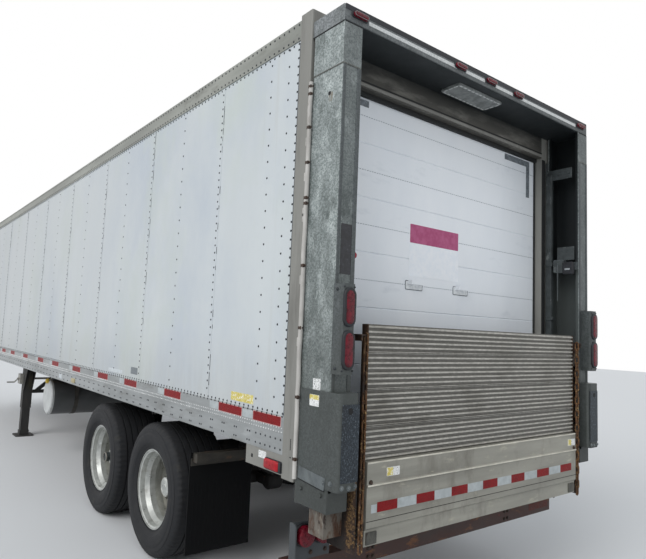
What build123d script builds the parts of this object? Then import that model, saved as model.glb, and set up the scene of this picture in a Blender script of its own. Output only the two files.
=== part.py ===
from build123d import *
import math
import os

# Box semi trailer with a rail-type lift gate at its rear. Millimetres, +X forward to the nose,
# +Y to the left side, +Z up. Pieces are drawn with X = 0 at the rear face of the rear frame and
# are moved when they are written, so that the origin is the middle of the box round the whole
# trailer, on the ground.

# Body shell
body_length = 10973
body_width = 2591
post_top = 3592
wall_thickness = 40
rail_thickness = 6
nose_radius = 200
panel_pitch = 1216
first_seam = 1010
lap_width = 44
lap_height = 1.5
lap_root = 1
floor_top = 1250
deck_thickness = 35
roof_drop = 52
roof_thickness = 26
roof_crown = 12

# Side rails
bottom_rail_above_floor = 50
bottom_rail_height = 205
rail_step = 3
rail_rib_rise = 101
rail_rib_width = 10
rail_lip = 50
top_rail_depth = 94
top_rail_flange = 70
rail_bevel = 8

# Crossmembers
crossmember_depth = 102
crossmember_flange = 57
crossmember_web = 6
crossmember_flange_thickness = 8
crossmember_pitch = 305
first_crossmember = 250
crossmember_end_gap = 5

# Rear frame and roll-up door
post_depth = 104
post_width = 105
jamb_width = 105
jamb_depth = 60
frame_radius = 8
header_height = 342
header_beam_height = 104
sill_height = 274
skirt_length = 366
skirt_height = 105
skirt_thickness = 6
door_gap = 4
door_thickness = 20
door_edge_cover = 15
door_top_cover = 30
door_sections = 6
door_groove = 5
handle_length = 110
handle_height = 26
handle_stand = 36
handle_bar = 8
handle_places = (330, -150)
handle_above_floor = 850

# Upper coupler and kingpin
coupler_thickness = 10
coupler_inset = 295.5
coupler_length = 1700
coupler_end_gap = 12
coupler_ramp = 90
coupler_rise = 34
kingpin_setback = 914
kingpin_collar_radius = 36.5
kingpin_collar_height = 33
kingpin_neck_radius = 25.4
kingpin_neck_height = 30
kingpin_head_radius = 35.7
kingpin_head_height = 21
kingpin_head_bevel = 4

# Landing gear
landing_station = 7400
landing_inset = 265.5
leg_outer = 130
leg_wall = 8
leg_low = 420
foot_gap = 0.3
foot_overlap = 300
shoe_length = 300
shoe_width = 260
shoe_thickness = 12
shoe_corner = 40
shoe_socket_height = 70
shoe_socket_width = 130
shoe_socket_side = 10
gusset_reach = 230
gusset_drop = 430
gusset_thickness = 8
cross_shaft_drop = 253
cross_shaft_offset = 45
cross_shaft_radius = 16
gearbox_size = 150
gearbox_depth = 50
crank_hub = 30
crank_hub_end = 3
crank_reach = 250
crank_drop = 75
crank_grip = 105
crank_radius = 11
cross_brace_drop = 473
cross_brace_size = 50
brace_strut_foot = 60
brace_strut_reach = 545
brace_pad_half = 60

# Axles, springs and running gear
axle_station_rear = 1880
axle_spacing = 1245
tyre_radius = 502
tyre_half_width = 222.5
tyre_side_inset = 11
tread_half_width = 172
bead_toe = 160
bead_cover = 197
# Tyre section from bead to tread: share of the section's height, share of its half width
tyre_outside = ((0.23, 0.96), (0.50, 1.00), (0.77, 0.96), (0.92, 0.89))
tyre_inside = ((0.15, 0.84), (0.50, 0.90), (0.77, 0.85), (0.84, 0.67))
rim_radius = 298.5
bead_drop = 12.5
rim_half_width = 178
flange_start = 184
rim_edge = 190.5
seat_gap = 0.4
rim_wall = 9
# Barrel of the wheel between its bead seats: distance from the middle, depth under the bead seat
rim_barrel = ((140, 5), (105, 24), (60, 24), (20, 7), (-140, 5))
disc_seat_depth = 7
disc_inset = 50.8
disc_thickness = 22
disc_bore = 110.5
disc_flat_radius = 178
disc_dish_radius = 228
disc_dish = 16
disc_rim_dish = 12
disc_rim_thickness = 32
hand_holes = 10
hand_hole_radius = 24
hand_hole_circle = 215
hand_hole_cut = 5
hub_flange_radius = 168
hub_flange_thickness = 21
hub_pilot_radius = 110
hub_pilot_length = 60
hub_pilot_step = 4
hub_barrel_radius = 88
hub_barrel_length = 60
hub_cap_radius = 74
hub_cap_length = 42
hub_cap_bevel = 10
hub_end_gap = 6
drum_radius = 222
drum_wall = 13
drum_width = 190
spindle_radius = 42
spindle_gap = 0.3
axle_tube_radius = 63.5
axle_tube_inset = 182
spider_radius = 170
spider_thickness = 24
spider_setback = 30
spring_offset = 557
spring_width = 76
# Share of the spring's reach that each leaf has, from the axle up
leaf_shares = (0.45, 0.75, 1.0)
leaf_thickness = 15
slipper_gap = 0.3
spring_rise = 66
spring_seat_height = 34
spring_seat_length = 150
spring_seat_side = 6
clamp_thickness = 18
clamp_side = 12
frame_rail_height = 160
frame_rail_width = 75
frame_rail_wall = 8
frame_rail_rear = 1150
frame_rail_front = 3850
frame_tube_radius = 38
hanger_offset = 560
hanger_length_top = 260
hanger_length_low = 150
hanger_wall = 10
hanger_side_gap = 8
hanger_drop = 290
slipper_radius = 40
equalizer_half_length = 150
equalizer_height = 90
equalizer_end_height = 24
equalizer_pin_radius = 20
chamber_radius = 82
chamber_end_radius = 57
chamber_end_bevel = 24
chamber_length = 150
chamber_offset = 190
chamber_track = 330
chamber_plate_thickness = 16
chamber_plate_height = 80
reservoir_radius = 120
reservoir_corner = 40
reservoir_length = 620
reservoir_crossmember = 13
reservoir_drop = 12
reservoir_strap_width = 60
reservoir_strap_thickness = 40
reservoir_strap_inset = 110
reservoir_strap_root = 20

# Cross tank under the floor
tank_station = 5870
tank_radius = 230
tank_top_gap = 128
tank_left_inset = 195.5
tank_right_inset = 395.5
tank_dome = 22
filler_radius = 38
filler_height = 55
filler_inset = 70
filler_root = 20
tank_strap_width = 50
tank_strap_thickness = 5
tank_strap_inset = 320
tank_strap_foot = 10

# Mud flaps
flap_station = 1190
flap_thickness = 10
flap_inset = 5.5
flap_width = 500
flap_low = 225
flap_top = 905
flap_bar = 60
flap_bar_inset = 20
flap_post_inset = 450
flap_post_middle = 150

# Lift gate, fixed part
gate_depth = 270
column_gap = 20
column_inset = 12.5
column_width = 127
column_wall = 6
column_lip = 18
column_drop = 96
column_cap_height = 236
column_cap_step = 1
canopy_drop = 79
canopy_height = 95
canopy_sheet = 4
canopy_radius = 10
mount_strip_inset = 8
mount_strip_width = 20
mount_strip_low_gap = 24
mount_strip_top_gap = 82
guard_above_post = 24
guard_height = 470
guard_reach = 80
guard_radius = 28
guard_front_gap = 30
guard_side_reach = 8
lamp_box_above_guard = 92
lamp_box_height = 452
lamp_box_reach = 70
lamp_box_side_reach = 7
lamp_box_width = 92
lamp_box_bevel = 12
lamp_top_inset = 118
lamp_low_inset = 121
oval_lamp_length = 178
oval_lamp_width = 64
lamp_lens = 10
marker_length = 100
marker_width = 26
marker_lens = 22
marker_drop = 43
marker_end_inset = 105
marker_spacing = 318
dome_lamp_length = 450
dome_lamp_width = 125
dome_lamp_thickness = 14
dome_lamp_setback = 125
side_marker_length = 120
side_marker_height = 50
side_marker_station = 300
side_marker_lens = 3
control_box_above_floor = 1060
control_box_height = 100
control_box_depth = 45
control_box_width = 80
control_box_setback = 130
control_box_corner = 8
control_plate_thickness = 6
control_plate_inset = 20

# Underride guard and its lamps
bumper_rear = 32
bumper_size = 100
bumper_low = 450
bumper_inset = 25.5
bumper_wall = 6
bumper_leg_place = 700
bumper_leg_size = 80
bumper_brace_reach = 620
bumper_brace_size = 60
lamp_plate_width = 270
lamp_plate_height = 202
lamp_plate_thickness = 8
lamp_cheek_reach = 45
lamp_cheek_lap = 10
lamp_cheek_radius = 25
round_lamp_radius = 52
round_lamp_depth = 44
round_lamp_rise = 135
round_lamp_insets = (80, 200)

# Lift gate, carriage that slides up and down in the columns
runner_setback = 60
runner_size = 120
runner_reach = 36
runner_wall = 8
runner_height = 1035
pad_height = 160
pad_low_gap = 130
pad_top_gap = 100
pad_gap = 0.5
arm_thickness = 20
arm_shoulder = 60
arm_overhang = 15
arm_drop = 22
arm_height = 282
crossbar_setback = 65
crossbar_depth = 80
crossbar_height = 67
pivot_setback = 15
pivot_rise = 30
pivot_radius = 16
pivot_gap = 0.3
pivot_reach = 45
pivot_end_gap = 5
chain_overhang = 25
chain_wire = 11
chain_link_inner = 50
chain_link_width = 34
chain_link_trim = 0.6
chain_links = 19
chain_play = 0.3
chain_drop = 10
hook_radius = 5
hook_height = 30
hook_back = 10
hook_thickness = 8

# Lift gate, platform
platform_side_gap = 55
platform_low = 690
platform_height = 1130
platform_setback = 35
deck_depth = 35
panel_height = 422
rib_pitch = 26.4
rib_height = 8
# Shares of a rib's pitch where its flank starts and where its crest starts
rib_flank = 0.2
rib_crest = 0.35
panel_overhang = 30
panel_ridge_rise = 303
panel_ridge_half = 10
panel_ridge_flat = 4
panel_ridge_reach = 6
panel_foot_rise = 80
panel_foot_step = 12
side_angle_thickness = 8
side_angle_rise = 90

# Nose connections
socket_above_floor = 170
socket_radius = 27
socket_bore = 22
socket_depth = 40
socket_floor = 10
socket_plate = 90
socket_plate_thickness = 8
gladhand_offset = 220
gladhand_above_floor = 180
gladhand_radius = 32
gladhand_width = 30
gladhand_stem_radius = 19
gladhand_reach = 70

# Levels and faces of the body
half_width = body_width / 2
wall_outer = half_width - rail_thickness
wall_inner = wall_outer - wall_thickness
bottom_rail_top = floor_top + bottom_rail_above_floor
bottom_rail_low = bottom_rail_top - bottom_rail_height
deck_low_side = floor_top - deck_thickness
seat_top = deck_low_side + rail_thickness
crossmember_low = deck_low_side - crossmember_depth
roof_bottom = post_top - roof_drop
top_rail_low = roof_bottom - top_rail_depth
top_rail_top = roof_bottom + roof_thickness + rail_thickness
post_low = floor_top - sill_height
header_low = post_top - header_height
skirt_low = bottom_rail_low - skirt_height
landing_track_half = half_width - landing_inset
tank_level = crossmember_low - tank_top_gap - tank_radius
tank_left = half_width - tank_left_inset
tank_right = tank_right_inset - half_width
flap_outer = half_width - flap_inset
bumper_half = half_width - bumper_inset
bumper_high = bumper_low + bumper_size
lamp_plate_top = bumper_high + lamp_plate_height

# Running gear
axle_stations = {"rear": axle_station_rear, "front": axle_station_rear + axle_spacing}
axle_level = tyre_radius
tyre_centre = half_width - tyre_side_inset - tyre_half_width
spring_centre = tyre_centre - spring_offset
axle_tube_half = tyre_centre - axle_tube_inset
bead_radius = rim_radius - bead_drop
spring_seat_level = axle_level + axle_tube_radius + spring_seat_height
spring_end_level = spring_seat_level + (len(leaf_shares) - 1) * leaf_thickness + spring_rise

# Lift gate
column_outer = half_width - column_inset
column_inner = column_outer - column_width
column_low = post_low - column_drop
canopy_top = post_top - canopy_drop
canopy_low = canopy_top - canopy_height
column_seam = canopy_low - column_cap_height
guard_low = post_low + guard_above_post
guard_high = guard_low + guard_height
lamp_box_low = guard_high + lamp_box_above_guard
lamp_box_high = lamp_box_low + lamp_box_height
lamp_box_outer = column_outer + lamp_box_side_reach
lamp_box_inner = lamp_box_outer - lamp_box_width
runner_front = -column_gap - runner_setback
runner_inner = column_inner - runner_reach
arm_inner = runner_inner - arm_thickness
arm_low = platform_low - arm_drop
arm_rear = -gate_depth - arm_overhang
crossbar_high = arm_low + crossbar_height
runner_top = crossbar_high + runner_height
chain_x = -gate_depth - chain_overhang
chain_top = runner_top - chain_drop
pivot_x = -gate_depth + pivot_setback
pivot_z = platform_low + pivot_rise
platform_half_width = arm_inner - platform_side_gap
platform_high = platform_low + platform_height
platform_front = -gate_depth + platform_setback
deck_low = platform_low + panel_height
# The chain hangs midway between the side of the platform and the arm of the carriage.
chain_centre = (platform_half_width + side_angle_thickness + arm_inner) / 2

# Ends of the box round the whole trailer
lamp_rear = -(gate_depth + lamp_box_reach + lamp_lens)
guard_rear = -(gate_depth + guard_reach)
rear_end = min(lamp_rear, guard_rear)
gladhand_end = body_length - rail_thickness + gladhand_reach + gladhand_radius
middle = (gladhand_end + rear_end) / 2


def block(x0, x1, y0, y1, z0, z1):
    return Pos((x0 + x1) / 2, (y0 + y1) / 2, (z0 + z1) / 2) * Box(x1 - x0, y1 - y0, z1 - z0)


def outline(points):
    return make_face(Polyline(*points, close=True))


def along_x(face, x0, x1):
    """A face drawn in (y, z), run from x0 to x1."""
    return Pos(x0, 0, 0) * extrude(Plane.YZ * face, x1 - x0)


def along_y(face, y0, y1):
    """A face drawn in (x, z), run from y0 to y1."""
    return Pos(0, y1, 0) * extrude(Plane.XZ * face, y1 - y0)


def along_z(face, z0, z1):
    """A face drawn in (x, y), run from z0 to z1."""
    return Pos(0, 0, z0) * extrude(Plane.XY * face, z1 - z0)


def round_bar(start, end, radius):
    path = Line(start, end)
    return sweep(Plane(origin=start, z_dir=path % 0) * Circle(radius), path)


def turned(points, x, z):
    """A ring turned about the line along Y through (x, z), from points of (radius, y)."""
    face = Plane.XY * make_face(Polyline(*points, close=True))
    return Pos(x, 0, z) * revolve(face, Axis.Y)


def cylinder_y(x, z, radius, y0, y1):
    return along_y(Pos(x, z) * Circle(radius), y0, y1)


def cylinder_x(y, z, radius, x0, x1):
    return along_x(Pos(y, z) * Circle(radius), x0, x1)


def mirrored(shape):
    return mirror(shape, Plane.XZ)


pieces = {}


def keep(name, *solids):
    pieces[name] = Compound(children=[solid for shape in solids for solid in shape.solids()])


def keep_pair(name, *shapes):
    keep(name + "_left", *shapes)
    keep(name + "_right", *[mirrored(shape) for shape in shapes])


def nose_band(outer_inset, inner_inset, z0, z1):
    """The part of a wall or rail that goes round the nose between its two rounded corners."""
    face = nose_face(outer_inset) - nose_face(inner_inset)
    start = body_length - nose_radius
    cutter = block(start, body_length + 1, -body_width, body_width, z0 - 1, z1 + 1)
    return along_z(face, z0, z1) & cutter


def nose_face(inset, rear=None):
    """Plan of the body inside an inset, square at the rear and rounded at the nose."""
    rear = post_depth if rear is None else rear
    front = body_length - inset
    side = half_width - inset
    radius = nose_radius - inset
    face = outline([(rear, -side), (front, -side), (front, side), (rear, side)])
    corners = face.vertices().group_by(Axis.X)[-1]
    return fillet(corners, radius)


def side_walls():
    start = post_depth
    end = body_length - nose_radius
    wall = block(start, end, wall_inner, wall_outer, seat_top, roof_bottom)
    seam = first_seam
    while seam < end - lap_width:
        wall += block(seam - lap_width / 2, seam + lap_width / 2, wall_outer - lap_root,
                      wall_outer + lap_height, bottom_rail_top, top_rail_low)
        seam += panel_pitch
    keep_pair("side_wall", wall)


def nose_wall():
    keep("nose_wall", nose_band(rail_thickness, rail_thickness + wall_thickness, seat_top, roof_bottom))
    web = nose_band(0, rail_thickness, bottom_rail_low, bottom_rail_top)
    seat = nose_band(rail_thickness, rail_thickness + wall_thickness, deck_low_side, seat_top)
    keep("nose_sill", web + seat)
    keep("nose_cap_rail", nose_band(0, rail_thickness, top_rail_low, top_rail_top))


def roof_panel():
    edge = half_width - top_rail_flange
    top = roof_bottom + roof_thickness
    lines = Polyline((edge, top), (wall_outer, top), (wall_outer, roof_bottom),
                     (-wall_outer, roof_bottom), (-wall_outer, top), (-edge, top))
    crown = ThreePointArc((-edge, top), (0, top + roof_crown), (edge, top))
    slab = along_x(make_face(lines + crown), post_depth, body_length)
    plan = along_z(nose_face(rail_thickness), roof_bottom - 1, top + roof_crown + 1)
    keep("roof_panel", slab & plan)


def floor_deck():
    keep("floor_deck", along_z(nose_face(rail_thickness + wall_thickness), deck_low_side, floor_top))


def bottom_rails():
    face_y = half_width - rail_step
    lip = half_width - rail_lip
    low = bottom_rail_low
    rib_low = low + rail_rib_rise
    rib_high = rib_low + rail_rib_width
    web = wall_outer
    profile = outline([
        (face_y, low), (face_y, rib_low), (half_width, rib_low), (half_width, rib_high),
        (face_y, rib_high), (face_y, bottom_rail_top), (web, bottom_rail_top), (web, seat_top),
        (wall_inner, seat_top), (wall_inner, deck_low_side), (web, deck_low_side),
        (web, low + rail_thickness), (lip, low + rail_thickness), (lip, low)])
    keep_pair("bottom_rail", along_x(profile, post_depth, body_length - nose_radius))


def top_rails():
    top = top_rail_top
    flange = half_width - top_rail_flange
    profile = outline([
        (wall_outer, top_rail_low), (half_width, top_rail_low), (half_width, top - rail_bevel),
        (half_width - rail_bevel, top), (flange, top), (flange, top - rail_thickness),
        (wall_outer, top - rail_thickness)])
    keep_pair("top_rail", along_x(profile, post_depth, body_length - nose_radius))


def crossmembers():
    half = wall_outer - crossmember_end_gap
    flange = crossmember_flange / 2
    web = crossmember_web / 2
    low = crossmember_low
    high = deck_low_side
    skin = crossmember_flange_thickness
    beams = []
    station = first_crossmember
    while station < body_length - nose_radius - flange:
        right = [(flange, low), (flange, low + skin), (web, low + skin), (web, high - skin),
                 (flange, high - skin), (flange, high)]
        left = [(-x, z) for x, z in reversed(right)]
        profile = outline([(station + x, z) for x, z in right + left])
        beams.append(along_y(profile, -half, half))
        station += crossmember_pitch
    keep("crossmembers", *beams)


def rear_frame():
    inner = half_width - post_width
    jamb = inner - jamb_width
    profile = outline([(0, jamb), (jamb_depth, jamb), (jamb_depth, inner), (post_depth, inner),
                       (post_depth, half_width), (0, half_width)])
    corner = profile.vertices().sort_by(Axis.Y).sort_by(Axis.X)
    outer = [v for v in corner if v.X < 1 and v.Y > inner]
    profile = fillet(outer, frame_radius)
    post = along_z(profile, post_low, post_top)
    post += block(post_depth, post_depth + skirt_length, half_width - skirt_thickness, half_width,
                  skirt_low, bottom_rail_low)
    keep_pair("rear_post", post)
    header = block(0, jamb_depth, -jamb, jamb, header_low, post_top)
    header += block(jamb_depth, post_depth, -inner, inner, roof_bottom - header_beam_height, post_top)
    keep("rear_header", header)
    sill = block(0, jamb_depth, -jamb, jamb, post_low, floor_top)
    sill += block(jamb_depth, post_depth, -inner, inner, post_low, floor_top)
    keep("rear_sill", sill)


def roll_up_door():
    jamb = half_width - post_width - jamb_width
    rear = jamb_depth + door_gap
    front = rear + door_thickness
    half = jamb + door_edge_cover
    low = floor_top
    high = header_low + door_top_cover
    door = block(rear, front, -half, half, low, high)
    step = (high - low) / door_sections
    groove = outline([(rear, -door_groove), (rear, door_groove), (rear + door_groove, 0)])
    for row in range(1, door_sections):
        door -= Pos(0, 0, low + row * step) * along_y(groove, -half - 1, half + 1)
    for place in handle_places:
        reach = handle_length / 2
        grip = rear - handle_stand
        foot = reach - handle_bar
        bow = outline([(rear, -reach), (grip, -reach), (grip, reach), (rear, reach), (rear, foot),
                       (grip + handle_bar, foot), (grip + handle_bar, -foot), (rear, -foot)])
        door += Pos(0, place, floor_top + handle_above_floor) * along_z(bow, 0, handle_height)
    keep("roll_up_door", door)


def upper_coupler():
    low = crossmember_low - coupler_thickness
    front = body_length - coupler_end_gap
    bend = front - coupler_ramp
    rear = front - coupler_length
    profile = outline([(rear, low), (bend, low), (front, low + coupler_rise),
                       (front, low + coupler_rise + coupler_thickness), (bend, crossmember_low),
                       (rear, crossmember_low)])
    half = half_width - coupler_inset
    plate = along_y(profile, -half, half)
    root = low + coupler_thickness / 2
    collar_end = low - kingpin_collar_height
    neck_end = collar_end - kingpin_neck_height
    head_end = neck_end - kingpin_head_height
    points = [(0, root), (kingpin_collar_radius, root), (kingpin_collar_radius, collar_end),
              (kingpin_neck_radius, collar_end), (kingpin_neck_radius, neck_end),
              (kingpin_head_radius, neck_end), (kingpin_head_radius, head_end + kingpin_head_bevel),
              (kingpin_head_radius - kingpin_head_bevel, head_end), (0, head_end)]
    pin = revolve(Plane.XZ * make_face(Polyline(*points, close=True)), Axis.Z)
    keep("upper_coupler", plate + Pos(body_length - kingpin_setback, 0, 0) * pin)


def landing_gear():
    x = landing_station
    y = landing_track_half
    half = leg_outer / 2
    high = crossmember_low
    leg = block(x - half, x + half, y - half, y + half, leg_low, high)
    inner = half - leg_wall
    leg -= block(x - inner, x + inner, y - inner, y + inner, leg_low - 1, high - leg_wall)
    rear = x - half
    gusset = outline([(rear, high), (rear - gusset_reach, high), (rear, high - gusset_drop)])
    for side in (y - half, y + half - gusset_thickness):
        leg += along_y(gusset, side, side + gusset_thickness)
    tube = inner - foot_gap
    foot = block(x - tube, x + tube, y - tube, y + tube, shoe_thickness, leg_low + foot_overlap)
    pad = Pos(x, y) * RectangleRounded(shoe_length, shoe_width, shoe_corner)
    foot += along_z(pad, 0, shoe_thickness)
    socket = shoe_socket_width / 2
    ears = outline([(x - socket, shoe_thickness), (x + socket, shoe_thickness),
                    (x + tube, shoe_thickness + shoe_socket_height),
                    (x - tube, shoe_thickness + shoe_socket_height)])
    foot += along_y(ears, y - tube - shoe_socket_side, y + tube + shoe_socket_side)
    keep_pair("landing_leg", leg, foot)

    bar = cross_brace_size / 2
    brace_low = high - cross_brace_drop
    brace = block(x - bar, x + bar, half - y, y - half, brace_low, brace_low + cross_brace_size)
    strut_top = y - half - brace_strut_reach
    for side in (1, -1):
        low_end = (x, side * (y - half - brace_strut_foot), brace_low + bar)
        high_end = (x, side * strut_top, high - bar)
        run = Line(low_end, high_end)
        brace += sweep(Plane(origin=low_end, x_dir=(1, 0, 0), z_dir=run % 0) *
                       Rectangle(cross_brace_size, cross_brace_size), run)
        centre = side * strut_top
        brace += block(x - cross_brace_size, x + cross_brace_size, centre - brace_pad_half,
                       centre + brace_pad_half, high - bar, high)
    keep("landing_brace", brace)

    level = high - cross_shaft_drop
    x = landing_station + cross_shaft_offset
    outer = y + half
    shaft = cylinder_y(x, level, cross_shaft_radius, half - y, y - half)
    size = gearbox_size / 2
    box = block(x - size, x + size, outer, outer + gearbox_depth, level - size, level + size)
    hub_end = outer + gearbox_depth + crank_hub
    arm_y = hub_end - crank_radius - crank_hub_end
    crank = cylinder_y(x, level, cross_shaft_radius, outer + gearbox_depth, hub_end)
    arm_end = (x + crank_reach, arm_y, level - crank_drop)
    crank += round_bar((x, arm_y, level), arm_end, crank_radius)
    crank += Pos(*arm_end) * Sphere(crank_radius)
    crank += round_bar(arm_end, (arm_end[0], arm_end[1] + crank_grip, arm_end[2]), crank_radius)
    keep("landing_crank", shaft, box + crank)


def suspension_frame():
    low = crossmember_low - frame_rail_height
    high = crossmember_low
    inner = spring_centre - frame_rail_width / 2
    outer = spring_centre + frame_rail_width / 2
    wall = frame_rail_wall
    profile = outline([(inner, low), (outer, low), (outer, low + wall), (inner + wall, low + wall),
                       (inner + wall, high - wall), (outer, high - wall), (outer, high), (inner, high)])
    rail = along_x(profile, frame_rail_rear, frame_rail_front)
    frame = rail + mirrored(rail)
    middle_level = (low + high) / 2
    reach = inner + wall / 2
    for station in hanger_stations():
        frame += cylinder_y(station, middle_level, frame_tube_radius, -reach, reach)
    keep("suspension_frame", frame)


def hanger_stations():
    rear = axle_stations["rear"]
    front = axle_stations["front"]
    return (rear - hanger_offset, (rear + front) / 2, front + hanger_offset)


def spring_hangers():
    top = crossmember_low - frame_rail_height
    low = top - hanger_drop
    cheek_y = spring_width / 2 + hanger_side_gap
    slipper = spring_end_level + leaf_thickness + slipper_gap
    solids = []
    for number, station in enumerate(hanger_stations()):
        long = hanger_length_top / 2
        short = hanger_length_low / 2
        cheek = outline([(station - long, top), (station + long, top), (station + short, low),
                         (station - short, low)])
        hanger = along_y(cheek, spring_centre - cheek_y - hanger_wall, spring_centre - cheek_y)
        hanger += along_y(cheek, spring_centre + cheek_y, spring_centre + cheek_y + hanger_wall)
        hanger += block(station - long, station + long, spring_centre - cheek_y,
                        spring_centre + cheek_y, top - hanger_wall, top)
        if number == 1:
            reach = equalizer_half_length
            rocker = outline([(station - reach, slipper), (station + reach, slipper),
                              (station + reach, slipper + equalizer_end_height),
                              (station, slipper + equalizer_height),
                              (station - reach, slipper + equalizer_end_height)])
            rocker = along_y(rocker, spring_centre - spring_width / 2, spring_centre + spring_width / 2)
            pin = cylinder_y(station, slipper + equalizer_height / 2, equalizer_pin_radius,
                             spring_centre - cheek_y, spring_centre + cheek_y)
            hanger += rocker + pin
        else:
            hanger += cylinder_y(station, slipper + slipper_radius, slipper_radius,
                                 spring_centre - cheek_y, spring_centre + cheek_y)
        solids += [hanger, mirrored(hanger)]
    keep("spring_hangers", *solids)


def leaf_springs():
    seat = spring_seat_level
    solids = []
    for station in axle_stations.values():
        pack = None
        for row, share in enumerate(leaf_shares):
            base = seat + row * leaf_thickness
            reach = hanger_offset * share
            rise = spring_rise * share ** 2
            under = ThreePointArc((station - reach, base + rise), (station, base),
                                  (station + reach, base + rise))
            over = ThreePointArc((station - reach, base + rise + leaf_thickness),
                                 (station, base + leaf_thickness),
                                 (station + reach, base + rise + leaf_thickness))
            sides = [Line(under @ 0, over @ 0), Line(under @ 1, over @ 1)]
            leaf = along_y(make_face(under + over + sides), spring_centre - spring_width / 2,
                           spring_centre + spring_width / 2)
            pack = leaf if pack is None else pack + leaf
        top = seat + len(leaf_shares) * leaf_thickness
        half = spring_seat_length / 2
        side = spring_width / 2 + clamp_side
        pack += block(station - half, station + half, spring_centre - side, spring_centre + side,
                      top - leaf_thickness / 4, top + clamp_thickness)
        solids += [pack, mirrored(pack)]
    keep("leaf_springs", *solids)


def axles():
    hub_inner = tyre_centre - disc_inset - hub_flange_thickness
    spindle_end = tyre_centre - disc_inset + hub_pilot_length
    for name, station in axle_stations.items():
        beam = cylinder_y(station, axle_level, axle_tube_radius, -axle_tube_half, axle_tube_half)
        beam += cylinder_y(station, axle_level, spindle_radius, -spindle_end, spindle_end)
        half = spring_seat_length / 2
        seat_side = spring_width / 2 + spring_seat_side
        spider_face = axle_tube_half - spider_setback
        for side in (1, -1):
            centre = side * spring_centre
            beam += block(station - half, station + half, centre - seat_side, centre + seat_side,
                          axle_level, spring_seat_level)
            spider = sorted((side * spider_face, side * (spider_face - spider_thickness)))
            beam += cylinder_y(station, axle_level, spider_radius, *spider)
        keep("axle_" + name, beam)


def brake_gear():
    solids = []
    for station in axle_stations.values():
        x = station - chamber_offset
        for side in (1, -1):
            start = side * chamber_track
            end = side * (chamber_track - chamber_length)
            low, high = sorted((start, end))
            points = [(0, low), (chamber_end_radius, low), (chamber_radius, low + chamber_end_bevel),
                      (chamber_radius, high - chamber_end_bevel), (chamber_end_radius, high), (0, high)]
            chamber = turned(points, x, axle_level)
            plate_y = chamber_plate_thickness / 2
            plate_z = chamber_plate_height / 2
            chamber += block(x, station - axle_tube_radius, start - plate_y, start + plate_y,
                             axle_level - plate_z, axle_level + plate_z)
            solids.append(chamber)
    level = crossmember_low - reservoir_radius - reservoir_drop
    reservoir_station = first_crossmember + reservoir_crossmember * crossmember_pitch
    tank = cylinder_y(reservoir_station, level, reservoir_radius, -reservoir_length / 2,
                      reservoir_length / 2)
    tank = fillet(tank.edges().filter_by(GeomType.CIRCLE), reservoir_corner)
    strap_x = reservoir_strap_width / 2
    strap_y = reservoir_strap_thickness / 2
    for side in (1, -1):
        centre = side * (reservoir_length / 2 - reservoir_strap_inset)
        tank += block(reservoir_station - strap_x, reservoir_station + strap_x, centre - strap_y,
                      centre + strap_y, level + reservoir_radius - reservoir_strap_root, crossmember_low)
    solids.append(tank)
    keep("brake_gear", *solids)


def cross_tank():
    shell = turned([(0, tank_right), (tank_radius - tank_dome, tank_right),
                    (tank_radius, tank_right + tank_dome), (tank_radius, tank_left - tank_dome),
                    (tank_radius - tank_dome, tank_left), (0, tank_left)], tank_station, tank_level)
    neck_y = tank_left - filler_inset
    neck_top = tank_level + tank_radius + filler_height
    neck = Pos(tank_station, neck_y) * Circle(filler_radius)
    shell += along_z(neck, tank_level + tank_radius - filler_root, neck_top)
    keep("cross_tank", shell)
    solids = []
    for place in (tank_left - tank_strap_inset, tank_right + tank_strap_inset):
        low = place - tank_strap_width / 2
        high = place + tank_strap_width / 2
        outer = tank_radius + tank_strap_thickness
        band = cylinder_y(tank_station, tank_level, outer, low, high)
        for side in (1, -1):
            edge = sorted((tank_station + side * tank_radius, tank_station + side * outer))
            band += block(*edge, low, high, tank_level, crossmember_low)
        band += block(tank_station - outer, tank_station + outer, low, high,
                      crossmember_low - tank_strap_foot, crossmember_low)
        band -= cylinder_y(tank_station, tank_level, tank_radius, low - 1, high + 1)
        solids.append(band)
    keep("tank_straps", *solids)


def mud_flaps():
    x = flap_station
    flap = block(x, x + flap_thickness, flap_outer - flap_width, flap_outer, flap_low, flap_top)
    keep("mud_flaps", flap, mirrored(flap))
    bar_low = flap_top - flap_bar
    bar_half = flap_outer - flap_bar_inset
    hanger = block(x - flap_bar, x, -bar_half, bar_half, bar_low, flap_top)
    post = flap_bar / 2
    for side in (1, -1):
        for place in (bar_half - flap_post_inset, flap_post_middle):
            hanger += block(x - flap_bar, x, side * place - post, side * place + post, flap_top,
                            crossmember_low)
    keep("flap_hanger", hanger)


def column_profile(grow):
    """Plan of a column, a channel with lips that is open toward the doorway."""
    rear = -gate_depth - grow
    front = -column_gap + grow
    outer = column_outer + grow
    inner = column_inner
    wall = column_wall + grow
    return outline([
        (rear, outer), (front, outer), (front, inner), (front - column_lip - wall, inner),
        (front - column_lip - wall, inner + wall), (front - wall, inner + wall),
        (front - wall, outer - wall), (rear + wall, outer - wall), (rear + wall, inner + wall),
        (rear + column_lip + wall, inner + wall), (rear + column_lip + wall, inner), (rear, inner)])


def gate_columns():
    column = along_z(column_profile(0), column_low, column_seam)
    column += along_z(column_profile(column_cap_step), column_seam, canopy_low)
    inset = column_outer - mount_strip_inset
    column += block(-column_gap - column_wall / 2, 0, inset - mount_strip_width, inset,
                    post_low + mount_strip_low_gap, column_seam - mount_strip_top_gap)
    keep_pair("gate_column", column)


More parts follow.
